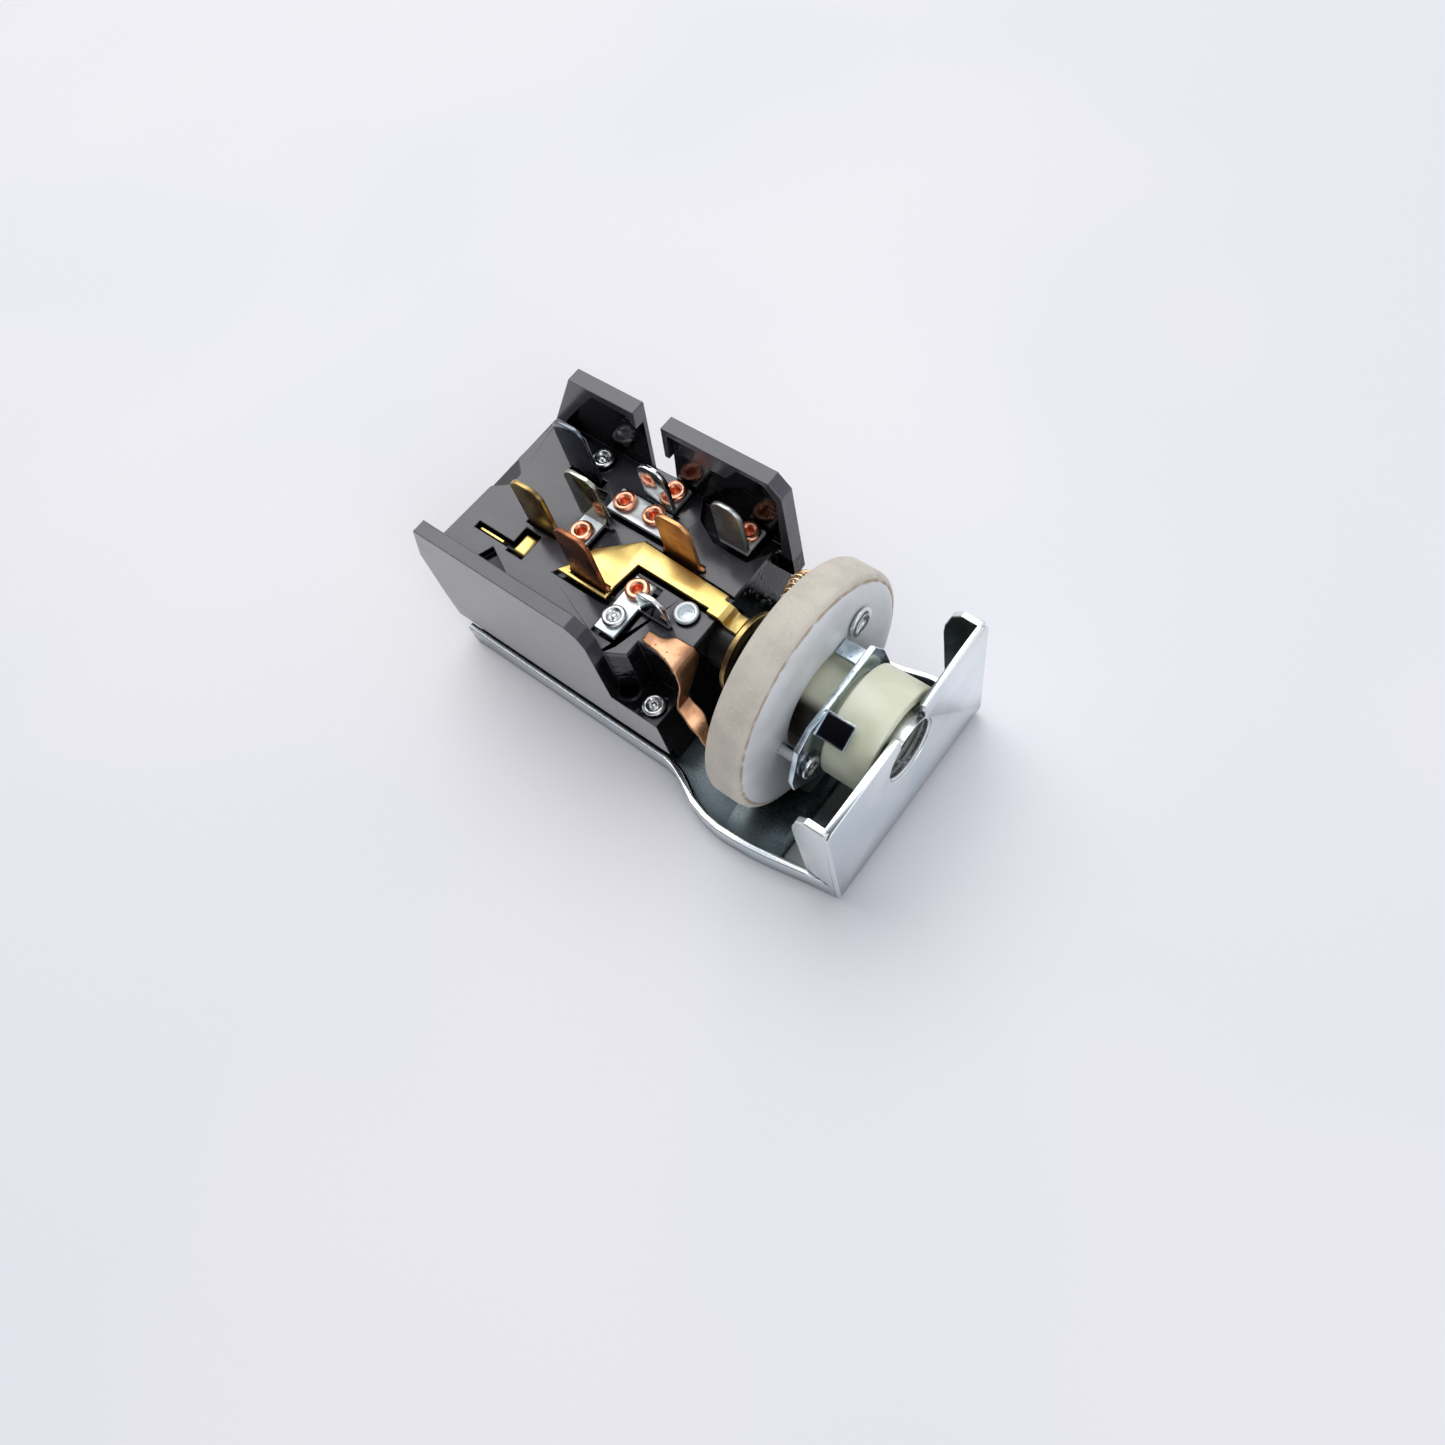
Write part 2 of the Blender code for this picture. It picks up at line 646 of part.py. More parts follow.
FAR_POCKET_FRONT = [
    (31.2, BOARD_TOP), (30.4, 38.6), (32.4, 41.2), (36.8, 41.2), (39.2, 38.2), (45.6, 38.2),
    (47.4, 35.4), (54.0, 35.4), (54.0, BOARD_TOP),
]
FAR_POCKET_REAR = [
    (54.0, BOARD_TOP), (54.0, 35.4), (56.7, 40.6), (63.4, 40.8), (67.4, 36.4), (72.4, 30.6),
    (74.4, BOARD_TOP),
]
FAR_TRIANGLE = [(43.8, 41.0), (49.2, 41.0), (50.2, 34.6), (47.2, 35.0)]
FAR_BED_OUTLINE = [(9.4, 34.6), (9.6, 41.0), (11.6, 44.8), (15.1, 47.4), (15.1, 31.0), (11.4, 33.4)]
FAR_DIMPLE = (32.9, 37.6)    # y, z of the round dimple in the far wall


def grown(outline, by):
    """The outline with each side moved out by a distance."""
    area = sum(a[0] * b[1] - b[0] * a[1] for a, b in zip(outline, outline[1:] + outline[:1]))
    way = 1.0 if area > 0 else -1.0
    found = []
    for i, here in enumerate(outline):
        spot = Vector(here)
        before = (spot - Vector(outline[i - 1])).normalized()
        after = (Vector(outline[(i + 1) % len(outline)]) - spot).normalized()
        first = Vector((before.y, -before.x)) * way
        second = Vector((after.y, -after.x)) * way
        middle = (first + second).normalized()
        reach = by / max(middle.dot(first), 0.5)
        found.append((spot.x + middle.x * reach, spot.y + middle.y * reach))
    return found


def terminal_housing():
    """Moulded block, open below, with a board on top and raised walls on three sides."""
    block = [
        (HALF, BLOCK_FRONT), (HALF, 77.4), (5.6, 77.8), (3.6, 75.4), (1.4, 75.4), (-0.6, 78.0),
        (-HALF, 78.6), (-HALF, 44.6), (-14.3, 44.4), (-13.3, 42.2), (-12.0, 39.8), (-9.4, 39.8),
        (-9.4, BLOCK_FRONT),
    ]
    body = prism("terminal_housing", block, HOUSING_LOW, BOARD_TOP, finish="phenolic")
    shelf = box("shelf", (-HALF, SHELF_FRONT, HOUSING_LOW), (-8.9, 48.0, SHELF_TOP))
    rear_side = [(76.0, HOUSING_LOW), (REAR, HOUSING_LOW), (REAR + 0.1, 9.0), (79.6, 24.2), (76.0, 24.2)]
    near_side = [
        (NEAR_FRONT, BAND_TOP), (NEAR_FRONT, NEAR_TOP - 3.6), (NEAR_FRONT + 0.9, NEAR_TOP - 1.3),
        (NEAR_FRONT + 2.8, NEAR_TOP), (76.5, NEAR_TOP), (80.2, 25.0), (REAR, 12.0), (REAR, BAND_TOP),
    ]
    far_front = [
        (29.3, 21.5), (29.3, FAR_TOP - 2.0), (31.2, FAR_TOP), (50.0, FAR_TOP),
        (52.2, BOARD_TOP - 0.4), (52.2, 21.5),
    ]
    far_rear = [
        (57.2, 21.5), (57.2, BOARD_TOP - 0.4), (55.1, FAR_TOP), (67.6, FAR_TOP),
        (77.0, BOARD_TOP), (77.0, 21.5),
    ]
    boss = rod(SHELF_RING_R, SHELF_TOP - 0.4, SHELF_TOP + 0.3)
    joined = [
        shelf,
        turned("shelf_ring", boss, (*SHELF_HOLE, 0), steps=20),
        prism("rear_wall", rear_side, 0.1 - HALF, HALF - 0.1, "X"),
        prism("near_wall", near_side, -HALF - 0.02, WALL - HALF, "X"),
        prism("far_wall_front", far_front, HALF - WALL, HALF + 0.02, "X"),
        prism("far_wall_rear", far_rear, HALF - WALL, HALF + 0.02, "X"),
    ]
    for piece in joined:
        boolean(body, piece, "UNION")
    top = BOARD_LOW
    cuts = [
        box("cavity", (-CAVITY_HALF, CAVITY_MAIN, 0.0), (CAVITY_HALF, CAVITY_END, top)),
        box("cavity_front", (-7.4, CAVITY_FRONT, 0.0), (CAVITY_HALF - 0.1, CAVITY_MAIN + 1.0, top - 0.1)),
        box("band_near", (-HALF - 1.0, 20.0, 0.0), (BAND_STEP - HALF, 90.0, BAND_TOP)),
        box("band_far", (HALF - BAND_STEP, 20.0, 0.0), (HALF + 1.0, 90.0, BAND_TOP)),
        turned("shaft_way", rod(SPIGOT_R + GAP, 28.0, 40.0), (0, 0, AXIS_Z), "Y", steps=28),
        box("slit", (-7.8, 66.9, LINK_LOW - GAP), (-6.5, 74.9, 27.0)),
        prism("square_hole", rect(-8.3, 64.2, -3.5, 67.5), LINK_LOW - GAP, 27.0),
        prism("arrow_recess", [(-11.9, 70.9), (-8.9, 69.7), (-11.3, 64.8)], BOARD_TOP - 1.2, 27.0),
        prism("centre_recess", [(5.4, 59.6), (8.2, 60.6), (7.6, 66.2), (6.2, 64.0)], 25.4, 27.0),
        prism("far_pocket_front", FAR_POCKET_FRONT, 13.0, POCKET_X, "X"),
        prism("far_pocket_rear", FAR_POCKET_REAR, 12.9, POCKET_X - 0.01, "X"),
        prism("far_triangle", FAR_TRIANGLE, 13.1, POCKET_X - 0.3, "X"),
        turned("far_dimple", rod(1.3, 13.0, POCKET_X + 0.35), (0, *FAR_DIMPLE), "X", steps=18),
        prism("far_bed", FAR_BED_OUTLINE, BOARD_TOP - FAR_BED, 27.0),
        prism("bus_bed", grown(BUS, 0.5), BOARD_TOP - STRIP_BED, 27.1),
        prism("link_bed", grown(LINK, 0.6), BOARD_TOP - STRIP_BED, 27.2),
        prism("pad_bed", grown(PAD, 0.45), BOARD_TOP - STRIP_BED, 27.3),
        prism("centre_bed", grown(FEET["blade_centre"][0], 0.45), BOARD_TOP - STRIP_BED + 0.1, 27.2),
        turned("shelf_hole", rod(SHELF_HOLE_R, SHELF_TOP - 3.0, SHELF_TOP + 1.0), (*SHELF_HOLE, 0), steps=20),
        turned("shelf_rivet_hole", rod(1.25, SHELF_TOP - 3.6, SHELF_TOP + 1), (*SHELF_RIVET, 0), steps=14),
        turned("button_bore", rod(BUTTON_R + GAP, BUTTON_SEAT, 17.0), (0, BUTTON_Y, BUTTON_Z), "X", steps=24),
        turned("pin_bore", rod(PIN_R + GAP, 12.0, 17.1), (0, BUTTON_Y, BUTTON_Z), "X", steps=16),
    ]
    spots = COPPER_ON_STRIP + STEEL_ON_STRIP + STEEL_ON_BOARD
    cuts.append(shank_holes("board_rivet_holes", spots, BOARD_LOW - 1.0, BOARD_TOP + 1.0))
    for name in BLADES:
        if name not in FEET:
            cuts.append(blade_slot(name + "_slot", name, BOARD_LOW - 1.0, BOARD_TOP + 1.0))
    for cut in cuts:
        boolean(body, cut)


# ------------------------------------------------------------------ dimmer

def ceramic_disc():
    """Ceramic ring with a rounded front edge and a groove behind for the winding."""
    inner = DISC_HOLE_R
    outer = DISC_R
    groove = COIL_WIRE + GAP
    profile = [
        (outer - 0.5, DISC_REAR), (outer, DISC_REAR - 0.5), (outer, DISC_FRONT + 1.4),
        (outer - 0.4, DISC_FRONT + 0.45), (outer - 1.4, DISC_FRONT), (inner + 0.5, DISC_FRONT),
        (inner, DISC_FRONT + 0.5), (inner, DISC_REAR - 0.4), (inner + 0.4, DISC_REAR),
        (COIL_R - groove, DISC_REAR), (COIL_R - groove, GROOVE_FLOOR),
        (COIL_R + groove, GROOVE_FLOOR), (COIL_R + groove, DISC_REAR),
    ]
    disc = turned("ceramic_disc", profile, (0, 0, AXIS_Z), "Y", "ceramic", "dimmer", steps=56)
    for i, (x, z) in enumerate((DISC_RIVET, DRIVER_RIVET)):
        hole = rod(RIVET_SHANK_R + GAP, 13.0, 18.4)
        boolean(disc, turned(f"disc_hole_{i}", hole, (x, 0, z), "Y", None, "dimmer", steps=14))


def drive_hub():
    """Hub, sleeve and spigot in one moulding, hollow for the shaft and the bracket's collar."""
    profile = [
        (SPIGOT_R, SPIGOT_END), (SPIGOT_R, SLEEVE_END), (SLEEVE_R, SLEEVE_END), (SLEEVE_R, HUB_STEP),
        (HUB_R, HUB_STEP), (HUB_R, HUB_FRONT + 0.5), (HUB_R - 0.5, HUB_FRONT),
        (COLLAR_R + 0.4, HUB_FRONT), (COLLAR_R + 0.4, COLLAR_END + 0.4), (BORE_R, COLLAR_END + 0.4),
        (BORE_R, SPIGOT_END),
    ]
    turned("drive_hub", profile, (0, 0, AXIS_Z), "Y", "nylon", "dimmer", steps=40)


def driver_plate():
    """Stamped plate that turns the disc: an eared ring with a rear lug and a front tab."""
    back = DRIVER_FRONT + DRIVER_THICK
    outline = [
        (-8.0, 28.9), (-11.1, 27.3), (-13.4, 21.8), (-13.4, 19.4), (-8.5, 14.9), (-3.0, 11.7),
        (3.0, 11.4), (8.0, 14.0), (9.8, 20.0), (8.6, 25.6), (6.8, 29.0),
    ]
    hole = circle((0.0, AXIS_Z), SLEEVE_R + GAP, 32)
    plate = prism(
        "driver_plate", outline, DRIVER_FRONT, back, "Y", "steel", "dimmer", holes=[hole],
    )
    lug = box("rear_lug", (3.3, DRIVER_FRONT + 0.2, 28.0), (5.9, DISC_FRONT - GAP, 28.85), None, "dimmer")
    tab = prism("front_tab", FRONT_TAB, TAB_END, DRIVER_FRONT + 0.3, "Y", None, "dimmer")
    boolean(plate, lug, "UNION")
    boolean(plate, tab, "UNION")
    hole = rod(RIVET_SHANK_R + GAP, 8.0, 12.0)
    x, z = DRIVER_RIVET
    boolean(plate, turned("driver_rivet_hole", hole, (x, 0, z), "Y", None, "dimmer", steps=14))


def disc_rivets():
    """The eyelet of the winding's end and the rivet that ties the driver plate to the disc."""
    fronts = (
        (DISC_RIVET, DISC_RIVET_R, DISC_FRONT - GAP),
        (DRIVER_RIVET, RIVET_HEAD_R, DRIVER_FRONT - GAP),
    )
    for i, ((x, z), wide, under) in enumerate(fronts, 1):
        head = [(RIVET_SHANK_R, 18.0), (RIVET_SHANK_R, under), (wide, under)]
        head += [(wide, under - 0.3), (wide - 0.45, under - 0.7), (0.85, under - 0.7)]
        profile = [(0, 18.0), *head, (0.55, under - 0.3), (0, under - 0.25)]
        turned(f"disc_rivet_{i}", profile, (x, 0, z), "Y", "steel", "dimmer", steps=14)


def resistance_coil():
    points = []
    middle = DISC_REAR + 0.4
    rivet_angle = math.degrees(math.atan2(DISC_RIVET[1] - AXIS_Z, DISC_RIVET[0]))
    for i in range(37):
        angle = math.radians(rivet_angle + COIL_ARC * i / 36)
        points.append((COIL_R * math.cos(angle), middle, AXIS_Z + COIL_R * math.sin(angle)))
    tube("resistance_coil", points, COIL_WIRE - 0.05, "resistance", "dimmer")


def rear_rings():
    """Contact ring and spring washer on the spigot behind the disc."""
    centre = (0, 0, AXIS_Z)
    inner = SPIGOT_R + GAP
    face = ring(inner, SLEEVE_R, RING_FRONT, RING_FRONT + 0.8)
    turned("contact_ring", face, centre, "Y", "brass", "dimmer")
    washer = ring(inner, SLEEVE_R - 0.3, WASHER_FRONT, WASHER_FRONT + 0.5)
    turned("wave_washer", washer, centre, "Y", "steel", "dimmer", steps=24)


# ------------------------------------------------------------------ carriage and release button

def slider_carriage():
    """Moulded slide with a cradle for the shaft, spring pockets and a groove for the button."""
    body = box(
        "slider_carriage", (-CARRIAGE_HALF, CARRIAGE_FRONT, CARRIAGE_LOW),
        (CARRIAGE_HALF, CARRIAGE_REAR, CARRIAGE_TOP), "carrier", "carriage",
    )
    over = CARRIAGE_TOP + 1.0
    cradle = arc((0.0, AXIS_Z), CRADLE_R, 180, 360, 12) + [(CRADLE_R, over), (-CRADLE_R, over)]
    slot_high = (5.8, LATCH_FRONT + LATCH_THICK + GAP, over)
    way = circle((0.0, AXIS_Z), 2.6, 14)
    ball_pocket = rod(BALL_R + 0.4, -CARRIAGE_HALF - 1.2, -5.6)
    cuts = [
        prism("cradle", cradle, CARRIAGE_FRONT - 1.0, LATCH_FRONT - 1.2, "Y", None, "carriage"),
        box("latch_slot", (-5.8, LATCH_FRONT - GAP, 8.0), slot_high, None, "carriage"),
        prism("latch_way", way, LATCH_FRONT - 2.0, LATCH_FRONT + 2.4, "Y", None, "carriage"),
        box("button_groove", (9.2, 50.0, 8.8), (13.0, 80.0, 15.2), None, "carriage"),
        turned("ball_pocket", ball_pocket, (0, SPRING_Y, BALL_Z), "X", None, "carriage", steps=16),
    ]
    for side, label in SIDES:
        pocket = rod(2.3, SPRING_LOW - 0.6, over)
        centre = (side * BRIDGE_X, SPRING_Y, 0)
        cuts.append(turned(f"spring_pocket_{label}", pocket, centre, "Z", None, "carriage", steps=18))
    for cut in cuts:
        boolean(body, cut)


def carriage_fittings():
    """Contact bridges on springs, the latch for the shaft's tip, and the detent ball."""
    for side, label in SIDES:
        low = (side * BRIDGE_X - 2.6, 60.6, BRIDGE_LOW)
        high = (side * BRIDGE_X + 2.6, 76.0, BRIDGE_LOW + BRIDGE_THICK)
        box(f"contact_bridge_{label}", low, high, "copper", "carriage")
        spring_low = Vector((side * BRIDGE_X, SPRING_Y, SPRING_LOW))
        points = [spring_low + spot for spot in helix(1.55, BRIDGE_LOW - 0.6 - SPRING_LOW, 5)]
        tube(f"bridge_spring_{label}", points, 0.25, "steel", "carriage", 1)
    keyhole = circle((0.0, AXIS_Z - 1.0), 2.1, 14)
    latch = [(-5.4, 8.4), (5.4, 8.4), (5.4, 22.2), (-5.4, 22.2)]
    back = LATCH_FRONT + LATCH_THICK
    latch = rounded(latch, 1.2)
    prism("shaft_latch", latch, LATCH_FRONT, back, "Y", "steel", "carriage", holes=[keyhole])
    bow = [math.pi * i / 10 for i in range(1, 10)]
    ball = [(BALL_R * math.sin(a), BALL_R * math.cos(a)) for a in bow]
    ball = [(0.0, BALL_R), *ball, (0.0, -BALL_R)]
    turned("detent_ball", ball, (BALL_X, SPRING_Y, BALL_Z), "X", "steel", "carriage", steps=16)
    behind = Vector((BALL_X + BALL_R + 0.25, SPRING_Y, BALL_Z))
    points = [behind + TURNS["X"] @ spot for spot in helix(1.2, 3.1, 4)]
    tube("detent_spring", points, 0.22, "steel", "carriage", 1)


def release_button():
    head_low = BUTTON_OUT - BUTTON_HEAD
    profile = [
        (0, BUTTON_OUT), (BUTTON_R - 0.5, BUTTON_OUT), (BUTTON_R, BUTTON_OUT - 0.5),
        (BUTTON_R, head_low), (PIN_R, head_low), (PIN_R, 12.3), (PIN_R + 0.6, 12.3),
        (PIN_R + 0.6, 11.9), (PIN_R, 11.5), (0, 11.5),
    ]
    turned("release_button", profile, (0, BUTTON_Y, BUTTON_Z), "X", "red", "button", steps=24)
    start = Vector((BUTTON_SEAT + GAP + 0.2, BUTTON_Y, BUTTON_Z))
    length = head_low - BUTTON_SEAT - 2 * GAP - 0.4
    points = [start + TURNS["X"] @ spot for spot in helix(2.25, length, 2.5, 12)]
    tube("button_spring", points, 0.2, "steel", "button", 1)


def inner_contacts():
    """Fixed contact studs under the board and the thermal breaker in the front bay."""
    for side, label in SIDES:
        for number, y in enumerate((50.4, 70.4), 1):
            low = (side * BRIDGE_X - 1.4, y - 1.4, 22.9)
            high = (side * BRIDGE_X + 1.4, y + 1.4, BOARD_LOW - GAP)
            box(f"fixed_contact_{label}_{number}", low, high, "copper")
    box("breaker_bimetal", (5.6, 41.0, 4.2), (11.2, 41.7, 19.0), "brass")
    turned("breaker_contact", rod(1.6, CAVITY_FRONT + GAP, 40.7), (8.4, 0, 15.6), "Y", "steel", steps=16)


# ------------------------------------------------------------------ assembly

mounting_bracket()
frame_plate()
terminal_housing()
blades()
strips()
board_rivets()
inner_contacts()
ceramic_disc()
drive_hub()
driver_plate()
disc_rivets()
resistance_coil()
rear_rings()
slider_carriage()
carriage_fittings()
release_button()
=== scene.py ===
"""Looks of a pull-out lighting switch with a rotary dimmer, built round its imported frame.

Sizes are in millimetres in the switch's own frame: x from the shaft line, y back from the panel
plate, z up from the underside of the bracket.
"""
import json
import math

import bmesh
import bpy
from mathutils import Matrix, Vector


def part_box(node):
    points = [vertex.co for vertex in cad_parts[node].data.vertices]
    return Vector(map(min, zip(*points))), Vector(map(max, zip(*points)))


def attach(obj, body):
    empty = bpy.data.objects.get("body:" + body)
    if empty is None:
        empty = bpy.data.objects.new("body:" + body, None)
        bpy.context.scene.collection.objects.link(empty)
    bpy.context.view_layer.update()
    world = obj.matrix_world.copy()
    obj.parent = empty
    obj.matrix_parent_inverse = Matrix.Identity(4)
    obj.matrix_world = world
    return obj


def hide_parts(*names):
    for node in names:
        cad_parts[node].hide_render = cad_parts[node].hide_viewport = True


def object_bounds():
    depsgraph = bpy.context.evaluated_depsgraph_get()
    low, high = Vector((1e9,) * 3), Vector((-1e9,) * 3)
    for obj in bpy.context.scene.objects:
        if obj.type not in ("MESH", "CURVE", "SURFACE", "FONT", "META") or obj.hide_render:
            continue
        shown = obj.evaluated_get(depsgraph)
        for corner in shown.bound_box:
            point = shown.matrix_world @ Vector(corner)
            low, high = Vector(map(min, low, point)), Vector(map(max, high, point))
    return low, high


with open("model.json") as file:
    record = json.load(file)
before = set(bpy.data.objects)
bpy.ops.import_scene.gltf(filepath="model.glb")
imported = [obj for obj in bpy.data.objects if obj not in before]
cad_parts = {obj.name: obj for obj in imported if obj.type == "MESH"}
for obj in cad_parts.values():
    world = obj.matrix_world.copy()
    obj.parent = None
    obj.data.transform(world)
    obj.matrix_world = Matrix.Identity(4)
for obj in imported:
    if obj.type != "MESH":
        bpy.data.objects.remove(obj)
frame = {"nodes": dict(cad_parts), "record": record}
CAD_BOX = [[float(v) for v in corner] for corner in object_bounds()]
RECORD = frame["record"]
MM = 0.001

BODY_OF = {node: body for body, nodes in RECORD["behaviour"]["bodies"].items() for node in nodes}
SLOT_OF = {part["node"]: part["material_slot"] for part in RECORD["subparts"]}
DIMMER_JOINT = next(j for j in RECORD["behaviour"]["joints"] if j["name"] == "dimmer_turn")
SHAFT_X = DIMMER_JOINT["pos_m"][0] / MM
SHAFT_Z = DIMMER_JOINT["pos_m"][2] / MM
PLATE_Y = CAD_BOX[0][1] / MM

# Dimmer: radii from the shaft line and distances behind the panel plate's front.
DISC_R = (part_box("ceramic_disc")[1][0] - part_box("ceramic_disc")[0][0]) / 2 / MM
DISC_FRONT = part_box("ceramic_disc")[0][1] / MM - PLATE_Y
DISC_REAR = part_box("ceramic_disc")[1][1] / MM - PLATE_Y
DISC_BORE = 7.9
SEAM_R = 17.85                # moulding seam between the rim and the smooth front face
SEAM_Y = DISC_FRONT + 0.62
GROOVE = (12.7, 16.1, 19.6)   # inner and outer radius and floor of the groove behind the disc
HUB_R = 8.7
HUB_BACK = 9.0
HUB_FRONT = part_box("drive_hub")[0][1] / MM - PLATE_Y
HUB_BORE = 3.6
COLLAR_BORE = 6.6
COLLAR_BORE_END = 4.3
SLEEVE_R = 6.6
SLEEVE_END = 24.6
SPIGOT_R = 4.3
SPIGOT_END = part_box("drive_hub")[1][1] / MM - PLATE_Y
COIL_R = 14.4
COIL_Y = 21.0
COIL_TURN_R = 1.15
COIL_WIRE = 0.17
COIL_START = 47.0             # degrees round the disc from the far side
COIL_SPAN = 300.0
COIL_TURNS = 132
LIFT_MIDDLE = 66.0            # where the winding stands proud, and over what angle
LIFT_WIDTH = 12.0

# Thread in the panel hole, which opens to the plate's upper edge between two sides.
THREAD_PITCH = 0.85
THREAD_ROOT = 5.2
THREAD_CREST = 4.72
THREAD_LENGTH = 3.7
HOLE_R = 5.05
OPENING = (-2.2, 3.5)         # left and right side of the opening, from the shaft line

# Rivet heads before they are scaled, and the shank under them.
HEAD_R = 1.9
HEAD_HIGH = 0.7
SHANK_R = 0.9
EYELET_R = 2.4

# Levels of the terminal housing.
OUTER_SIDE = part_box("terminal_housing")[0][0] / MM
BOARD_TOP = 26.4
POCKET_FACE = 15.15 + SHAFT_X # sunk inner faces of the far walls
FOOT_TOP = 27.5               # riveted feet of the blades lie below this


# ------------------------------------------------------------------ shader maths

class Socket:
    """A shader node's output that can stand in arithmetic with numbers and other outputs."""

    def __init__(self, finish, output):
        self.finish = finish
        self.output = output

    def math(self, operation, first, second):
        return self.finish.node("Math", {"operation": operation}, {0: first, 1: second})

    def __add__(self, other):
        return self.math("ADD", self, other)

    def __sub__(self, other):
        return self.math("SUBTRACT", self, other)

    def __rsub__(self, other):
        return self.math("SUBTRACT", other, self)

    def __mul__(self, other):
        return self.math("MULTIPLY", self, other)

    def limit(self, high):
        return self.math("MINIMUM", self, high)

    def larger(self, other):
        return self.math("MAXIMUM", self, other)

    __radd__ = __add__
    __rmul__ = __mul__


class Finish:
    """A material on a Principled shader, with the patterns that its surfaces are made of."""

    def __init__(self, name, fixed):
        self.material = bpy.data.materials.new(name)
        self.material.use_nodes = True
        self.tree = self.material.node_tree
        self.shader = self.tree.nodes["Principled BSDF"]
        self.set(fixed)
        self.place = self.node("TexCoord", output="Object")

    def feed(self, entry, value):
        if isinstance(value, Socket):
            self.tree.links.new(value.output, entry)
        else:
            entry.default_value = value

    def set(self, values):
        for name, value in values.items():
            self.feed(self.shader.inputs[name], value)

    def node(self, kind, settings=None, inputs=None, output=0):
        made = self.tree.nodes.new("ShaderNode" + kind)
        for name, value in (settings or {}).items():
            setattr(made, name, value)
        for name, value in (inputs or {}).items():
            self.feed(made.inputs[name], value)
        return Socket(self, made.outputs[output])

    def stretched(self, factors):
        return self.node("Mapping", {"vector_type": "POINT"}, {"Vector": self.place, "Scale": factors})

    def noise(self, size, detail=3.0, stretch=(1.0, 1.0, 1.0)):
        """Cloudy pattern whose features are about size millimetres across."""
        spots = {"Vector": self.stretched(stretch), "Scale": 1.0 / (size * MM), "Detail": detail}
        return self.node("TexNoise", None, spots)

    def cells(self, size):
        spots = {"Vector": self.place, "Scale": 1.0 / (size * MM)}
        return self.node("TexVoronoi", {"feature": "F1"}, spots)

    def step(self, value, low, high):
        """0 below low, 1 above high, smooth between; low may be the larger one."""
        spots = {"Value": value, "From Min": low, "From Max": high}
        return self.node("MapRange", {"interpolation_type": "SMOOTHSTEP"}, spots)

    def mix(self, first, second, factor):
        """Colour between two; colours are (r, g, b) or sockets."""
        spots = {0: factor}
        for entry, colour in ((6, first), (7, second)):
            spots[entry] = colour if isinstance(colour, Socket) else (*colour, 1.0)
        return self.node("Mix", {"data_type": "RGBA"}, spots, 2)

    # edge mask: the finishes use it for painted highlights along edges, and for specks at sheared edges
    def edge_band(self, reach):
        """1 where the surface turns within reach millimetres, such as along an outer edge."""
        soft = self.node("Bevel", {"samples": 4}, {"Radius": reach * MM})
        flat = self.node("NewGeometry", output="Normal")
        turn = self.node("VectorMath", {"operation": "DOT_PRODUCT"}, {0: soft, 1: flat}, 1)
        return self.step(1.0 - turn, 0.01, 0.16)

    def recess(self, reach):
        """1 deep in a pocket or under an overhang, 0 out in the open."""
        open_share = self.node("AmbientOcclusion", {"samples": 8}, {"Distance": reach * MM}, 1)
        return self.step(open_share, 0.86, 0.38)

    def facing(self, way):
        """1 on faces that look one way, 0 on the others."""
        flat = self.node("TexCoord", output="Normal")
        share = self.node("VectorMath", {"operation": "DOT_PRODUCT"}, {0: flat, 1: way}, 1)
        return self.step(share, 0.6, 0.8)

    def along(self, axis):
        """Place in millimetres along an axis of the scene."""
        return self.node("SeparateXYZ", None, {0: self.place}, axis) * (1.0 / MM)

    def specks(self, size, share, patch=9.0):
        """Small dots, more of them in some patches than in others."""
        dots = self.step(self.cells(size), share, share * 0.6)
        return dots * self.step(self.noise(patch, 2.0), 0.46, 0.6)

    def bump(self, height, depth, strength=1.0):
        inputs = {"Height": height, "Distance": depth * MM, "Strength": strength}
        return self.node("Bump", None, inputs)


def metal(name, light, dark, roughness, tarnish, stretch=(1.0, 1.0, 1.0), speck=0.16, edge=0.7, foot=0.0):
    """Rolled or plated sheet: clouds of tarnish, fine scratches, dark specks and painted highlights on
    the edges.

    A share of foot makes the flat riveted feet of the blades paler and more satin than the blades.
    """
    made = Finish(name, {"Metallic": 1.0, "IOR": 2.2})
    cloud = made.step(made.noise(4.0, 4.0), 0.40, 0.64)
    fine = made.noise(0.35, 3.0, stretch)
    scratch = made.step(made.noise(0.5, 2.0, (0.12, 1.0, 1.0)), 0.60, 0.74)
    specks = made.specks(0.75, speck)
    rim = made.edge_band(0.22)
    colour = made.mix(light, dark, cloud * tarnish + (fine - 0.5) * 0.2)
    bright = [min(1.0, c * 0.45 + 0.55) for c in light]
    # painted highlight: the colour is lightened along the edges
    colour = made.mix(colour, bright, rim * edge * 0.7)
    colour = made.mix(colour, [c * 0.16 for c in dark], specks * 0.85)
    rough = roughness + cloud * 0.08 + (fine - 0.5) * 0.10 - rim * 0.06 + specks * 0.3
    if foot:
        lying = made.step(made.along("Z"), FOOT_TOP + 0.5, FOOT_TOP) * foot
        colour = made.mix(colour, made.mix((0.86, 0.91, 0.93), (0.74, 0.82, 0.86), cloud), lying)
        rough = rough + lying * 0.34
    height = fine * 0.6 + scratch * 0.3 - specks
    made.set({"Base Color": colour, "Roughness": rough, "Normal": made.bump(height, 0.012)})
    return made.material


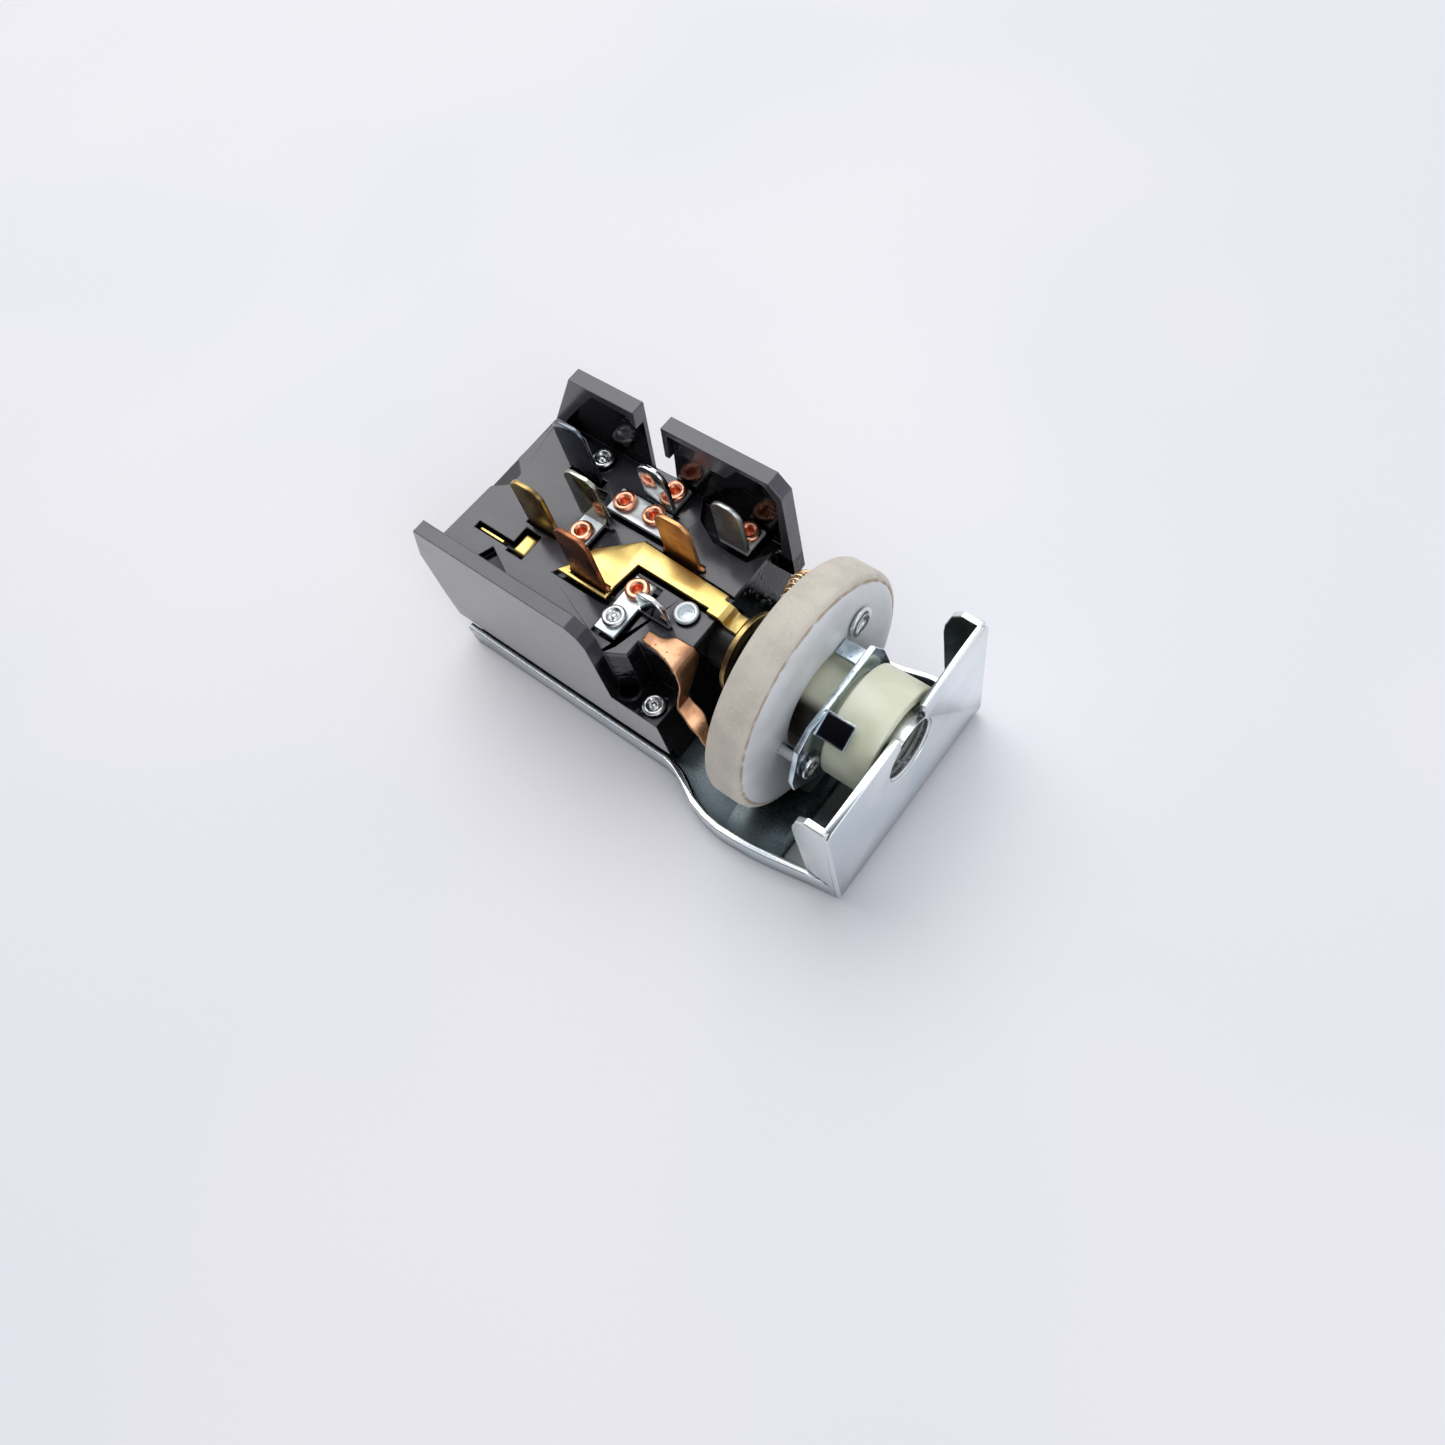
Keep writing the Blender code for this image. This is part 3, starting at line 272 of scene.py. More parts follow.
def driver_steel(name):
    """Bluish plated sheet with painted highlights on its edges; the outer face of its front tab is
    coloured near-black.
    """
    made = Finish(name, {"Metallic": 1.0, "IOR": 2.2})
    cloud = made.step(made.noise(3.0, 4.0), 0.40, 0.62)
    fine = made.noise(0.35, 3.0)
    rim = made.edge_band(0.2)
    specks = made.specks(0.7, 0.2, 4.0)
    tab = made.facing((-0.62, 0.0, 0.79)) * made.step(made.along("Y") - PLATE_Y, 9.9, 9.7)
    black = tab * (1.0 - made.edge_band(0.4))
    colour = made.mix((0.66, 0.75, 0.80), (0.38, 0.47, 0.54), cloud)
    # painted highlight: paler colour along the edges
    colour = made.mix(colour, (0.90, 0.95, 0.96), rim * 0.7)
    colour = made.mix(colour, (0.05, 0.06, 0.07), specks * 0.8)
    colour = made.mix(colour, (0.006, 0.006, 0.008), black)
    rough = 0.24 + (fine - 0.5) * 0.12 + specks * 0.3 + black * 0.1
    height = fine * (0.6 + black * 1.5) - specks
    made.set({"Base Color": colour, "Roughness": rough, "Normal": made.bump(height, 0.014)})
    return made.material


def zinc_sheet(name, light, blue, roughness, shine=1.0):
    """Bright zinc plate with pale blue and straw clouds, specks where it was sheared, painted shade in
    recesses and painted highlights on edges.
    """
    made = Finish(name, {"Metallic": 1.0, "IOR": 2.2})
    cloud = made.step(made.noise(9.0, 2.0), 0.36, 0.64)
    straw = made.step(made.noise(14.0, 2.0, (1.0, 0.7, 1.3)), 0.50, 0.70)
    fine = made.noise(0.3, 3.0)
    drawn = made.noise(0.5, 2.0, (1.0, 0.3, 0.6))
    rim = made.edge_band(0.45)
    dots = made.step(made.cells(0.55), 0.30, 0.16) * rim
    dents = made.specks(1.6, 0.12, 12.0)
    shade = made.recess(14.0)
    colour = made.mix(light, blue, cloud)
    colour = made.mix(colour, [c * shine for c in (0.80, 0.82, 0.74)], straw * 0.35)
    # painted shade: darker blue deep in recesses
    colour = made.mix(colour, [c * 0.24 for c in blue], shade * 0.85)
    # painted highlight: paler along the edges
    colour = made.mix(colour, (0.95, 0.96, 0.97), rim * 0.6 * shine)
    colour = made.mix(colour, (0.10, 0.10, 0.11), (dots * 0.5 + dents * 0.45).limit(1.0))
    rough = roughness + (fine - 0.5) * 0.12 + (drawn - 0.5) * 0.06 + dots * 0.2 - rim * 0.06
    height = fine * 0.4 + drawn * 0.2 - dots * 0.8 - dents
    made.set({"Base Color": colour, "Roughness": rough, "Normal": made.bump(height, 0.014)})
    return made.material


def phenolic(name, black, slate, pale, roughness=0.16):
    """Glossy moulding: slate haze on open faces, painted shade in pockets, painted light on a rubbed
    outer side, painted highlights on edges.
    """
    made = Finish(name, {"IOR": 1.58})
    flow = made.noise(5.0, 4.0, (1.0, 0.5, 1.0))
    grain = made.noise(0.28, 3.0)
    dust = made.specks(0.8, 0.10, 6.0)
    smear = made.step(made.noise(1.1, 3.0, (1.0, 0.35, 1.0)), 0.56, 0.70)
    inward = made.facing((-1.0, 0.0, 0.0))
    sunk = made.step(made.along("X"), POCKET_FACE - 0.25, POCKET_FACE - 0.1) * inward
    low = made.step(made.along("Z"), BOARD_TOP - 0.5, BOARD_TOP - 1.2)
    # painted light: the outer side is painted paler, and is also rougher
    outside = made.step(made.along("X"), OUTER_SIDE + 0.12, OUTER_SIDE + 0.02)
    # painted shade: black in pockets, on sunk faces and below the board top
    pocket = made.recess(5.0).larger(sunk * 0.9).larger(low * 0.85) * (1.0 - outside)
    rim = made.edge_band(0.22)
    colour = made.mix(slate, [c * 1.35 for c in slate], made.step(flow, 0.35, 0.7))
    colour = made.mix(colour, pale, outside)
    colour = made.mix(colour, black, pocket)
    # painted highlight: lighter slate along the edges
    colour = made.mix(colour, [c * 2.4 for c in slate], rim * 0.5)
    colour = made.mix(colour, (0.22, 0.21, 0.22), dust * 0.30)
    rough = roughness + (grain - 0.5) * 0.10 + (flow - 0.5) * 0.08 + dust * 0.25 + outside * 0.22
    rough = rough + smear * 0.06 - pocket * 0.05
    height = grain * (0.35 + outside * 0.5) + flow * 0.25 + dust + smear * pocket * 2.0
    bump = made.bump(height, 0.02)
    # painted shade: the metallic share in the pockets dims their reflections
    made.set({"Base Color": colour, "Roughness": rough, "Metallic": pocket * 0.72, "Normal": bump})
    return made.material


def ceramic(name):
    """Steatite: a beige speckled rim, a brown seam line and a smoother bluish front face."""
    made = Finish(name, {"IOR": 1.5})
    y = made.along("Y") - PLATE_Y
    face = made.step(y, SEAM_Y + 0.04, SEAM_Y - 0.04)
    seam = made.step(y, SEAM_Y + 0.16, SEAM_Y + 0.05) * made.step(y, SEAM_Y - 0.12, SEAM_Y - 0.03)
    seam = seam * made.step(made.noise(1.6, 3.0), 0.36, 0.56)
    cloud = made.step(made.noise(5.0, 4.0), 0.38, 0.66)
    fine = made.noise(0.22, 4.0)
    grit = made.step(made.cells(0.42), 0.20, 0.08)
    pale = made.step(made.noise(0.5, 2.0), 0.58, 0.72)
    rim = made.mix((0.63, 0.585, 0.505), (0.54, 0.505, 0.435), cloud)
    rim = made.mix(rim, (0.72, 0.68, 0.60), pale * 0.55)
    rim = made.mix(rim, (0.30, 0.26, 0.21), grit * 0.45)
    front = made.mix((0.66, 0.685, 0.70), (0.60, 0.615, 0.61), cloud)
    colour = made.mix(rim, front, face)
    colour = made.mix(colour, (0.33, 0.22, 0.13), seam * 0.65)
    rough = 0.78 - face * 0.42 + (fine - 0.5) * 0.2
    height = (fine + grit * -0.6) * (1.0 - face * 0.8)
    made.set({"Base Color": colour, "Roughness": rough, "Normal": made.bump(height, 0.035)})
    return made.material


def nylon(name):
    """Natural nylon: pale green-yellow with a few tool marks, and painted shade, black, in the disc's
    bore and behind it.
    """
    made = Finish(name, {
        "IOR": 1.53, "Subsurface Weight": 0.3, "Subsurface Radius": (1.0, 1.0, 0.6),
        "Subsurface Scale": 0.0025,
    })
    cloud = made.step(made.noise(5.0, 3.0), 0.34, 0.68)
    fine = made.noise(0.4, 3.0)
    marks = made.specks(1.3, 0.10, 6.0)
    y = made.along("Y") - PLATE_Y
    bore_rear_shade = made.step(y + made.noise(2.0, 3.0) * 1.5, 20.6, 22.4)
    bore_side_shade = made.step(made.along("X"), SHAFT_X - 2.6, SHAFT_X - 4.4) * made.step(y, 10.8, 11.1)
    colour = made.mix((0.66, 0.68, 0.51), (0.74, 0.76, 0.61), cloud)
    colour = made.mix(colour, (0.40, 0.38, 0.22), marks * 0.5)
    # painted shade: black in the disc's bore and behind the disc
    colour = made.mix(colour, (0.014, 0.012, 0.010), bore_rear_shade.larger(bore_side_shade))
    rough = 0.32 + (fine - 0.5) * 0.14
    made.set({"Base Color": colour, "Roughness": rough, "Normal": made.bump(fine + cloud, 0.012)})
    return made.material


def moulded(name, light, dark, roughness):
    """Satin moulded plastic with a fine spark-eroded texture and painted highlights on its edges."""
    made = Finish(name, {"IOR": 1.5})
    cloud = made.step(made.noise(3.0, 3.0), 0.35, 0.68)
    grain = made.noise(0.2, 3.0)
    rim = made.edge_band(0.2)
    colour = made.mix(light, dark, cloud)
    # painted highlight: lighter along the edges
    colour = made.mix(colour, [min(1.0, c * 1.5 + 0.05) for c in light], rim * 0.5)
    rough = roughness + (grain - 0.5) * 0.2
    made.set({"Base Color": colour, "Roughness": rough, "Normal": made.bump(grain, 0.02)})
    return made.material


def table_top(name):
    """Pale lacquered table with a fine pebbled sheen."""
    made = Finish(name, {"IOR": 1.45})
    cloud = made.step(made.noise(120.0, 2.0), 0.35, 0.65)
    pebble = made.noise(1.5, 2.0)
    colour = made.mix((0.84, 0.825, 0.84), (0.80, 0.805, 0.84), cloud)
    rough = 0.42 + (pebble - 0.5) * 0.12
    made.set({"Base Color": colour, "Roughness": rough, "Normal": made.bump(pebble, 0.05, 0.5)})
    return made.material


FINISHES = {
    "zinc": zinc_sheet("bright_zinc_plate", (0.84, 0.87, 0.88), (0.72, 0.80, 0.84), 0.24),
    "inner_zinc": zinc_sheet("inner_zinc_plate", (0.16, 0.195, 0.21), (0.13, 0.175, 0.195), 0.28, 0.16),
    "phenolic": phenolic(
        "black_phenolic", (0.003, 0.003, 0.004), (0.052, 0.050, 0.062), (0.40, 0.39, 0.40),
    ),
    "brown": phenolic(
        "brown_phenolic", (0.03, 0.014, 0.008), (0.09, 0.046, 0.028), (0.10, 0.05, 0.03), 0.34,
    ),
    "ceramic": ceramic("steatite"),
    "nylon": nylon("natural_nylon"),
    "brass": metal("rolled_brass", (0.88, 0.66, 0.24), (0.72, 0.50, 0.15), 0.30, 0.5),
    "dark_brass": metal(
        "tarnished_brass", (0.52, 0.38, 0.14), (0.20, 0.13, 0.05), 0.32, 1.0, (1, 1, 0.3), 0.3,
    ),
    "copper": metal("copper_strip", (0.56, 0.32, 0.19), (0.34, 0.18, 0.10), 0.32, 0.9, (1, 1, 0.3), 0.2),
    "worn_copper": metal(
        "copper_blade", (0.72, 0.36, 0.15), (0.46, 0.19, 0.07), 0.36, 0.8, (1, 1, 0.2), 0.22,
    ),
    "dark_copper": metal(
        "dark_copper_blade", (0.40, 0.15, 0.07), (0.14, 0.05, 0.03), 0.38, 0.9, (1, 1, 0.2), 0.26,
    ),
    "rivet_copper": metal("rolled_copper", (0.95, 0.46, 0.30), (0.82, 0.32, 0.19), 0.24, 0.6),
    "tin": metal(
        "bright_tin", (0.84, 0.87, 0.88), (0.54, 0.58, 0.60), 0.10, 0.35, (1, 1, 0.4), 0.14, 0.7, 1.0,
    ),
    "olive_tin": metal(
        "olive_tin", (0.46, 0.47, 0.40), (0.22, 0.23, 0.19), 0.12, 0.6, (1, 1, 0.4), 0.2, 0.9, 1.0,
    ),
    # painted shade: a darkened copy of the bright tin, for the rear far blade
    "tin_in_shade": metal(
        "shaded_tin", (0.15, 0.17, 0.20), (0.05, 0.06, 0.08), 0.16, 0.8, (1, 1, 0.4), 0.2, 1.0,
    ),
    "pad": metal("tinned_pad", (0.86, 0.91, 0.93), (0.76, 0.83, 0.86), 0.55, 0.4),
    "dull_tin": metal(
        "dull_tin", (0.60, 0.64, 0.62), (0.34, 0.38, 0.38), 0.34, 0.8, (1, 1, 0.4), 0.26, 0.8, 1.0,
    ),
    "steel": metal("plated_steel", (0.74, 0.76, 0.77), (0.44, 0.46, 0.48), 0.22, 0.5),
    "driver": driver_steel("blue_steel_sheet"),
    "wire": metal("resistance_wire", (0.86, 0.62, 0.34), (0.66, 0.42, 0.22), 0.26, 0.6),
    "red": moulded("button_red", (0.50, 0.045, 0.035), (0.38, 0.03, 0.025), 0.42),
}


# ------------------------------------------------------------------ mesh helpers

def spot(x, y, z):
    """A point of the switch's own frame, in the scene's metres."""
    return Vector((SHAFT_X + x, PLATE_Y + y, z)) * MM


def finish_piece(name, mesh, node, finish, replaced=True, sharp=35.0):
    """Link a mesh as a piece that rides with a node's body, and stands for the node if asked."""
    mesh.materials.append(FINISHES[finish])
    mesh.shade_smooth()
    if sharp:
        mesh.set_sharp_from_angle(angle=math.radians(sharp))
    made = bpy.data.objects.new(name, mesh)
    bpy.context.scene.collection.objects.link(made)
    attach(made, BODY_OF[node])
    if replaced:
        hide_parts(node)
    return made


ROUNDED_ANGLE = 27.0          # edges that turn less stay as they are
EDGE_SHARE = 0.35             # rounding takes up no more than this share of the edges beside it
LEAST_SHARE = 0.12            # an edge that could take less of its rounding stays sharp


def as_mesh(work, name):
    mesh = bpy.data.meshes.new(name)
    work.to_mesh(mesh)
    work.free()
    return mesh


def edged(node, finish, width, segments=2, flat=False):
    """A node's shape as clean faces with rounded edges, rounded less where they lie close together.

    A flat one keeps the node's triangles and is shaded flat, which suits large faces with many corners.
    """
    work = bmesh.new()
    work.from_mesh(frame["nodes"][node].data)
    bmesh.ops.remove_doubles(work, verts=work.verts, dist=0.000002)
    if not flat:
        bmesh.ops.dissolve_limit(work, angle_limit=math.radians(1.0), verts=work.verts, edges=work.edges)
    weight = work.edges.layers.float.new("bevel_weight_edge")
    for edge in work.edges:
        if edge.calc_face_angle(0.0) < math.radians(ROUNDED_ANGLE):
            continue
        beside = [other for vert in edge.verts for other in vert.link_edges if other is not edge]
        share = min([1.0] + [other.calc_length() * EDGE_SHARE / (width * MM) for other in beside])
        edge[weight] = share if share > LEAST_SHARE else 0.0
        edge.smooth = share > LEAST_SHARE
    made = finish_piece(node + "_edged", as_mesh(work, node + "_edged"), node, finish, sharp=None)
    rounding = made.modifiers.new("edges", "BEVEL")
    rounding.width = width * MM
    rounding.segments = segments
    rounding.limit_method = "WEIGHT"
    rounding.use_clamp_overlap = False
    rounding.harden_normals = not flat
    if flat:
        made.data.shade_flat()


def spun(profile, centre, axis, steps=48, sweep=360.0, start=0.0):
    """A profile of (radius, height) points turned about an axis through the centre."""
    along = Vector(axis)
    across = Vector((1.0, 0.0, 0.0)) if abs(along.x) < 0.5 else Vector((0.0, 1.0, 0.0))
    work = bmesh.new()
    verts = [work.verts.new(centre + (across * r + along * h) * MM) for r, h in profile]
    edges = [work.edges.new(pair) for pair in zip(verts, verts[1:])]
    turn = Matrix.Rotation(math.radians(start), 3, along)
    bmesh.ops.rotate(work, cent=centre, matrix=turn, verts=verts)
    whole = sweep >= 360.0
    bmesh.ops.spin(
        work, geom=verts + edges, cent=centre, axis=along, steps=steps,
        angle=math.radians(sweep), use_merge=whole,
    )
    bmesh.ops.remove_doubles(work, verts=work.verts, dist=0.000002)
    bmesh.ops.recalc_face_normals(work, faces=work.faces)
    return work


def softened(profile, radius, count=3, closed=True):
    """The profile with each corner between two long sides rounded off."""
    found = []
    total = len(profile)
    for i, here in enumerate(profile):
        if not closed and i in (0, total - 1):
            found.append(here)
            continue
        corner = Vector(here)
        back = Vector(profile[i - 1]) - corner
        ahead = Vector(profile[(i + 1) % total]) - corner
        reach = min(radius, back.length * 0.45, ahead.length * 0.45)
        first = corner + back.normalized() * reach
        last = corner + ahead.normalized() * reach
        for j in range(count + 1):
            t = j / count
            point = first * (1 - t) ** 2 + corner * 2 * t * (1 - t) + last * t ** 2
            found.append((point.x, point.y))
    return found + [found[0]] if closed else found


def wire_mesh(name, points, radius, rings):
    """A round wire along points, as a closed mesh."""
    line = bpy.data.curves.new(name, "CURVE")
    line.dimensions = "3D"
    line.bevel_depth = radius * MM
    line.bevel_resolution = rings
    line.use_fill_caps = True
    run = line.splines.new("POLY")
    run.points.add(len(points) - 1)
    for knot, place in zip(run.points, points):
        knot.co = (*place, 1.0)
    holder = bpy.data.objects.new(name, line)
    bpy.context.scene.collection.objects.link(holder)
    view = bpy.context.evaluated_depsgraph_get()
    mesh = bpy.data.meshes.new_from_object(holder.evaluated_get(view))
    bpy.data.objects.remove(holder)
    bpy.data.curves.remove(line)
    work = bmesh.new()
    work.from_mesh(mesh)
    bpy.data.meshes.remove(mesh)
    bmesh.ops.remove_doubles(work, verts=work.verts, dist=0.000002)
    bmesh.ops.recalc_face_normals(work, faces=work.faces)
    return as_mesh(work, name)


# ------------------------------------------------------------------ pressed and stamped parts

def sheet_parts():
    """Pressed, stamped and bent sheet, with its sheared edges rounded."""
    edged("mounting_bracket", "zinc", 0.22, 3)
    edged("frame_plate", "inner_zinc", 0.12)
    edged("driver_plate", "driver", 0.14, 3)
    edged("shaft_latch", "steel", 0.1)
    edged("brass_bus_bar", "brass", 0.14)
    brass_link()
    edged("rivet_link", "pad", 0.12)
    blades = {
        "blade_rear_brass": "dark_brass", "blade_rear_far": "tin_in_shade", "blade_centre": "olive_tin",
        "blade_bus": "dark_copper", "blade_middle": "worn_copper", "blade_far_middle": "tin",
        "blade_far_front": "dull_tin", "blade_dimmer": "tin",
    }
    for node, finish in blades.items():
        edged(node, finish, 0.16, 3)
    for node in ("contact_bridge_near", "contact_bridge_far"):
        edged(node, "copper", 0.15)
    for node in SLOT_OF:
        if node.startswith("fixed_contact"):
            edged(node, "copper", 0.2)
    edged("breaker_bimetal", "brass", 0.08)


def soft_box(name, low, high, node, finish, width):
    """A block between two corners with rounded edges."""
    work = bmesh.new()
    middle = Matrix.Translation((low + high) / 2)
    bmesh.ops.create_cube(work, size=1.0, matrix=middle @ Matrix.Diagonal((*(high - low), 1.0)))
    bmesh.ops.bevel(
        work, geom=work.edges, offset=width * MM, affect="EDGES", segments=4, profile=0.5, material=-1,
    )
    finish_piece(name, as_mesh(work, name), node, finish, sharp=50.0)


def brass_link():
    """The link's pillow in the square hole, its bar in the slit, and the neck between them, painted black
    as shade.
    """
    low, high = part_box("brass_link")
    left, front, base = low
    right, back, top = high
    side = left + 0.5 * MM
    wide = Vector((0.25, 0.25, 0.0)) * MM
    pillow = (Vector((left, front, base)) - wide, Vector((right, front + 2.1 * MM, top)) + wide)
    slit = (Vector((left, back - 5.0 * MM, base)), Vector((side, back, top - 0.2 * MM)))
    neck = (Vector((left, front + 1.8 * MM, base)), Vector((side, back - 4.7 * MM, base + 0.4 * MM)))
    soft_box("brass_pillow", *pillow, "brass_link", "brass", 0.55)
    soft_box("brass_slit_bar", *slit, "brass_link", "brass", 0.12)
    # painted shade: the brass neck takes the black moulding finish
    soft_box("brass_link_neck", *neck, "brass_link", "phenolic", 0.1)


def mouldings():
    """The terminal housing and the carriage that slides in it."""
    edged("terminal_housing", "phenolic", 0.18, 3, flat=True)
    edged("slider_carriage", "brown", 0.2)


# Copper wiper strip: (y, z, middle x, half width), from the board to the winding.
WIPER = [
    (39.2, 27.05, -8.3, 0.95), (37.9, 27.05, -8.35, 1.05), (36.8, 27.05, -8.4, 1.15),
    (35.9, 27.05, -8.2, 1.45), (35.1, 27.05, -7.95, 1.8), (34.2, 27.05, -8.0, 2.05),
    (33.2, 27.05, -8.15, 2.2), (32.5, 26.95, -8.25, 2.3), (32.0, 26.75, -8.35, 2.4),
    (31.65, 26.35, -8.4, 2.48), (31.45, 25.8, -8.45, 2.5), (31.35, 25.0, -8.6, 2.4),
    (31.3, 24.0, -9.1, 2.1), (31.3, 22.8, -9.75, 1.8), (31.3, 21.8, -10.6, 1.55),
    (31.25, 20.9, -11.25, 1.4), (31.2, 20.4, -11.6, 1.35), (31.05, 20.1, -11.7, 1.35),
    (30.7, 20.0, -11.8, 1.38), (29.6, 19.9, -12.1, 1.5), (28.4, 19.8, -12.45, 1.6),
    (27.3, 19.65, -12.8, 1.5), (26.6, 19.35, -13.1, 1.3), (26.1, 18.8, -13.4, 1.1),
    (25.5, 18.1, -13.75, 0.92), (24.5, 17.55, -14.0, 0.8), (23.9, 17.0, -14.1, 0.75),
    (23.85, 16.5, -14.1, 0.72), (24.2, 16.1, -14.1, 0.7),
]


def wiper():
    """Copper strip that leaves the board, drops down the housing's front and steps out to the disc."""
    columns = 4
    last = len(WIPER) - 1
    work = bmesh.new()
    bmesh.ops.create_grid(work, x_segments=columns, y_segments=last, size=1.0)
    for vert in work.verts:
        across = vert.co.x
        row = round((vert.co.y + 1.0) / 2.0 * last)
        y, z, centre, half = WIPER[row]
        wave = 0.09 * math.sin(row * 1.9) + 0.06 * math.sin(row * 3.1 + 1.0)
        crown = 0.12 * (1.0 - across * across) * math.sin(row * 0.55)
        vert.co = spot(centre + across * (half + wave), y - crown * 0.4, z + crown * 0.5)
    bmesh.ops.recalc_face_normals(work, faces=work.faces)
    name = "dimmer_wiper_strip"
    made = finish_piece(name, as_mesh(work, name), "dimmer_wiper", "copper")
    thick = made.modifiers.new("thickness", "SOLIDIFY")
    thick.thickness = 0.42 * MM
    thick.offset = 0.0
    smooth = made.modifiers.new("smooth", "SUBSURF")
    smooth.levels = 2
    smooth.render_levels = 2


# ------------------------------------------------------------------ rivets

HOLLOW = [
    (0.0, -1.55), (0.6, -1.5), (0.64, -0.9), (0.72, -0.45), (0.9, -0.14), (1.15, -0.02), (1.42, 0.0),
    (1.66, -0.08), (1.83, -0.24), (1.9, -0.44), (1.84, -0.62), (1.7, -0.7), (0.95, -0.7),
]
CLINCHED = [
    (0.0, -0.12), (0.3, -0.14), (0.5, -0.26), (0.6, -0.46), (0.78, -0.5), (0.93, -0.32), (1.08, -0.1),
    (1.32, 0.0), (1.58, -0.05), (1.79, -0.2), (1.88, -0.42), (1.82, -0.62), (1.7, -0.7), (0.95, -0.7),
]
OPEN = [
    (0.0, -1.3), (0.92, -1.25), (1.02, -0.7), (1.1, -0.34), (1.22, -0.1), (1.4, 0.0), (1.62, -0.04),
    (1.82, -0.2), (1.9, -0.42), (1.84, -0.62), (1.7, -0.7), (0.95, -0.7),
]


def rivet(node, profile, finish, axis=(0.0, 0.0, 1.0), petals=6, wide=HEAD_R):
    """A rivet whose head was rolled over, with the slightly uneven petals that rolling leaves."""
    profile = [(r * wide / HEAD_R if r > SHANK_R else r, h) for r, h in profile]
    low, high = (Vector(corner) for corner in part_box(node))
    along = Vector(axis)
    centre = (low + high) / 2
    length = (high - low).dot(Vector([abs(v) for v in axis]))
    top = centre + along * length / 2
    outline = profile + [(SHANK_R, -HEAD_HIGH - 0.1), (SHANK_R, -length / MM), (0.0, -length / MM)]
    work = spun(outline, top, axis, 36)
    phase = sum(ord(letter) for letter in node) % 7
    across = Vector((1.0, 0.0, 0.0))
    beside = along.cross(across)
    for vert in work.verts:
        out = vert.co - top
        height = out.dot(along)
        flat = out - along * height
        radius = flat.length / MM
        if radius > 0.55 and height > -HEAD_HIGH * MM * 1.01:
            angle = math.atan2(flat.dot(beside), flat.dot(across))
            bend = 0.028 * math.cos(petals * angle + phase) + 0.03 * math.cos(2 * angle + phase * 2)
            rise = min(max((radius - 0.5) / 0.6, 0.0), 1.0) * min(max((wide - radius) / 0.4, 0.0), 1.0)
            vert.co -= along * (bend + 0.06) * rise * 0.5 * MM
            vert.co -= flat.normalized() * abs(bend) * 0.3 * MM
    finish_piece(node + "_rolled", as_mesh(work, node + "_rolled"), node, finish, sharp=50.0)


def rivets():
    """Rolled rivets of the board, the shelf and the disc, and the breaker's round stud."""
    for number in range(1, 7):
        rivet(f"copper_rivet_{number}", HOLLOW, "rivet_copper")
    rivet("steel_rivet_1", CLINCHED, "steel")
    rivet("steel_rivet_2", OPEN, "pad", petals=3)
    rivet("steel_rivet_3", CLINCHED, "steel")
    rivet("steel_rivet_4", CLINCHED, "steel")
    rivet("disc_rivet_1", HOLLOW, "steel", (0.0, -1.0, 0.0), 5, EYELET_R)
    rivet("disc_rivet_2", CLINCHED, "steel", (0.0, -1.0, 0.0))
    low, high = (Vector(corner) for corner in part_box("breaker_contact"))
    middle = (low + high) / 2
    half = (high.y - low.y) / 2 / MM
    stud = softened([(0.0, -half), (1.6, -half), (1.6, half), (0.0, half)], 0.3, closed=False)
    work = spun(stud, middle, (0.0, 1.0, 0.0), 28)
    finish_piece("breaker_stud", as_mesh(work, "breaker_stud"), "breaker_contact", "steel")


def stake_lugs():
    """Small copper tongues that were swaged over at the feet of the two plain copper blades."""
    for node, finish, base in (
        ("blade_bus", "dark_copper", FOOT_TOP), ("blade_middle", "worn_copper", BOARD_TOP + 0.1),
    ):
        low, high = (Vector(corner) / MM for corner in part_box(node))
        middle = (low.x + high.x) / 2
        work = bmesh.new()
        for y, reach in ((low.y - 0.2, 0.75), (high.y + 0.1, 0.55)):
            place = Matrix.Translation(Vector((middle, y, base + 0.2)) * MM)
            size = Matrix.Diagonal((0.5 * MM, reach * MM, 0.42 * MM, 1.0))
            bmesh.ops.create_icosphere(work, subdivisions=3, radius=1.0, matrix=place @ size)
        name = node + "_stakes"
        finish_piece(name, as_mesh(work, name), node, finish, replaced=False, sharp=60.0)


# ------------------------------------------------------------------ dimmer

def disc():
    """Ceramic ring: front face, moulding seam, rim and the groove behind that holds the winding."""
    rim = [
        (DISC_R, DISC_REAR - 0.6), (DISC_R, DISC_FRONT + 2.0), (DISC_R - 0.1, DISC_FRONT + 1.35),
        (DISC_R - 0.4, DISC_FRONT + 0.95), (DISC_R - 0.8, DISC_FRONT + 0.74),
        (SEAM_R + 0.08, SEAM_Y + 0.04),
        (SEAM_R, SEAM_Y + 0.1), (SEAM_R - 0.08, SEAM_Y - 0.02), (SEAM_R - 0.5, DISC_FRONT + 0.4),
        (SEAM_R - 1.2, DISC_FRONT + 0.16), (SEAM_R - 2.2, DISC_FRONT + 0.03), (SEAM_R - 3.4, DISC_FRONT),
        (DISC_BORE + 1.0, DISC_FRONT), (DISC_BORE + 0.4, DISC_FRONT + 0.1),
        (DISC_BORE + 0.1, DISC_FRONT + 0.4),
        (DISC_BORE, DISC_FRONT + 0.9), (DISC_BORE, DISC_REAR - 0.4), (DISC_BORE + 0.4, DISC_REAR),
        (GROOVE[0] - 0.2, DISC_REAR), (GROOVE[0], DISC_REAR - 0.2), (GROOVE[0], GROOVE[2]),
        (GROOVE[1], GROOVE[2]), (GROOVE[1], DISC_REAR - 0.2), (GROOVE[1] + 0.2, DISC_REAR),
        (DISC_R - 0.6, DISC_REAR), (DISC_R - 0.2, DISC_REAR - 0.18), (DISC_R, DISC_REAR - 0.6),
    ]
    work = spun(rim, spot(0, 0, SHAFT_Z), (0.0, 1.0, 0.0), 144)
    finish_piece("ceramic_ring", as_mesh(work, "ceramic_ring"), "ceramic_disc", "ceramic", sharp=40.0)


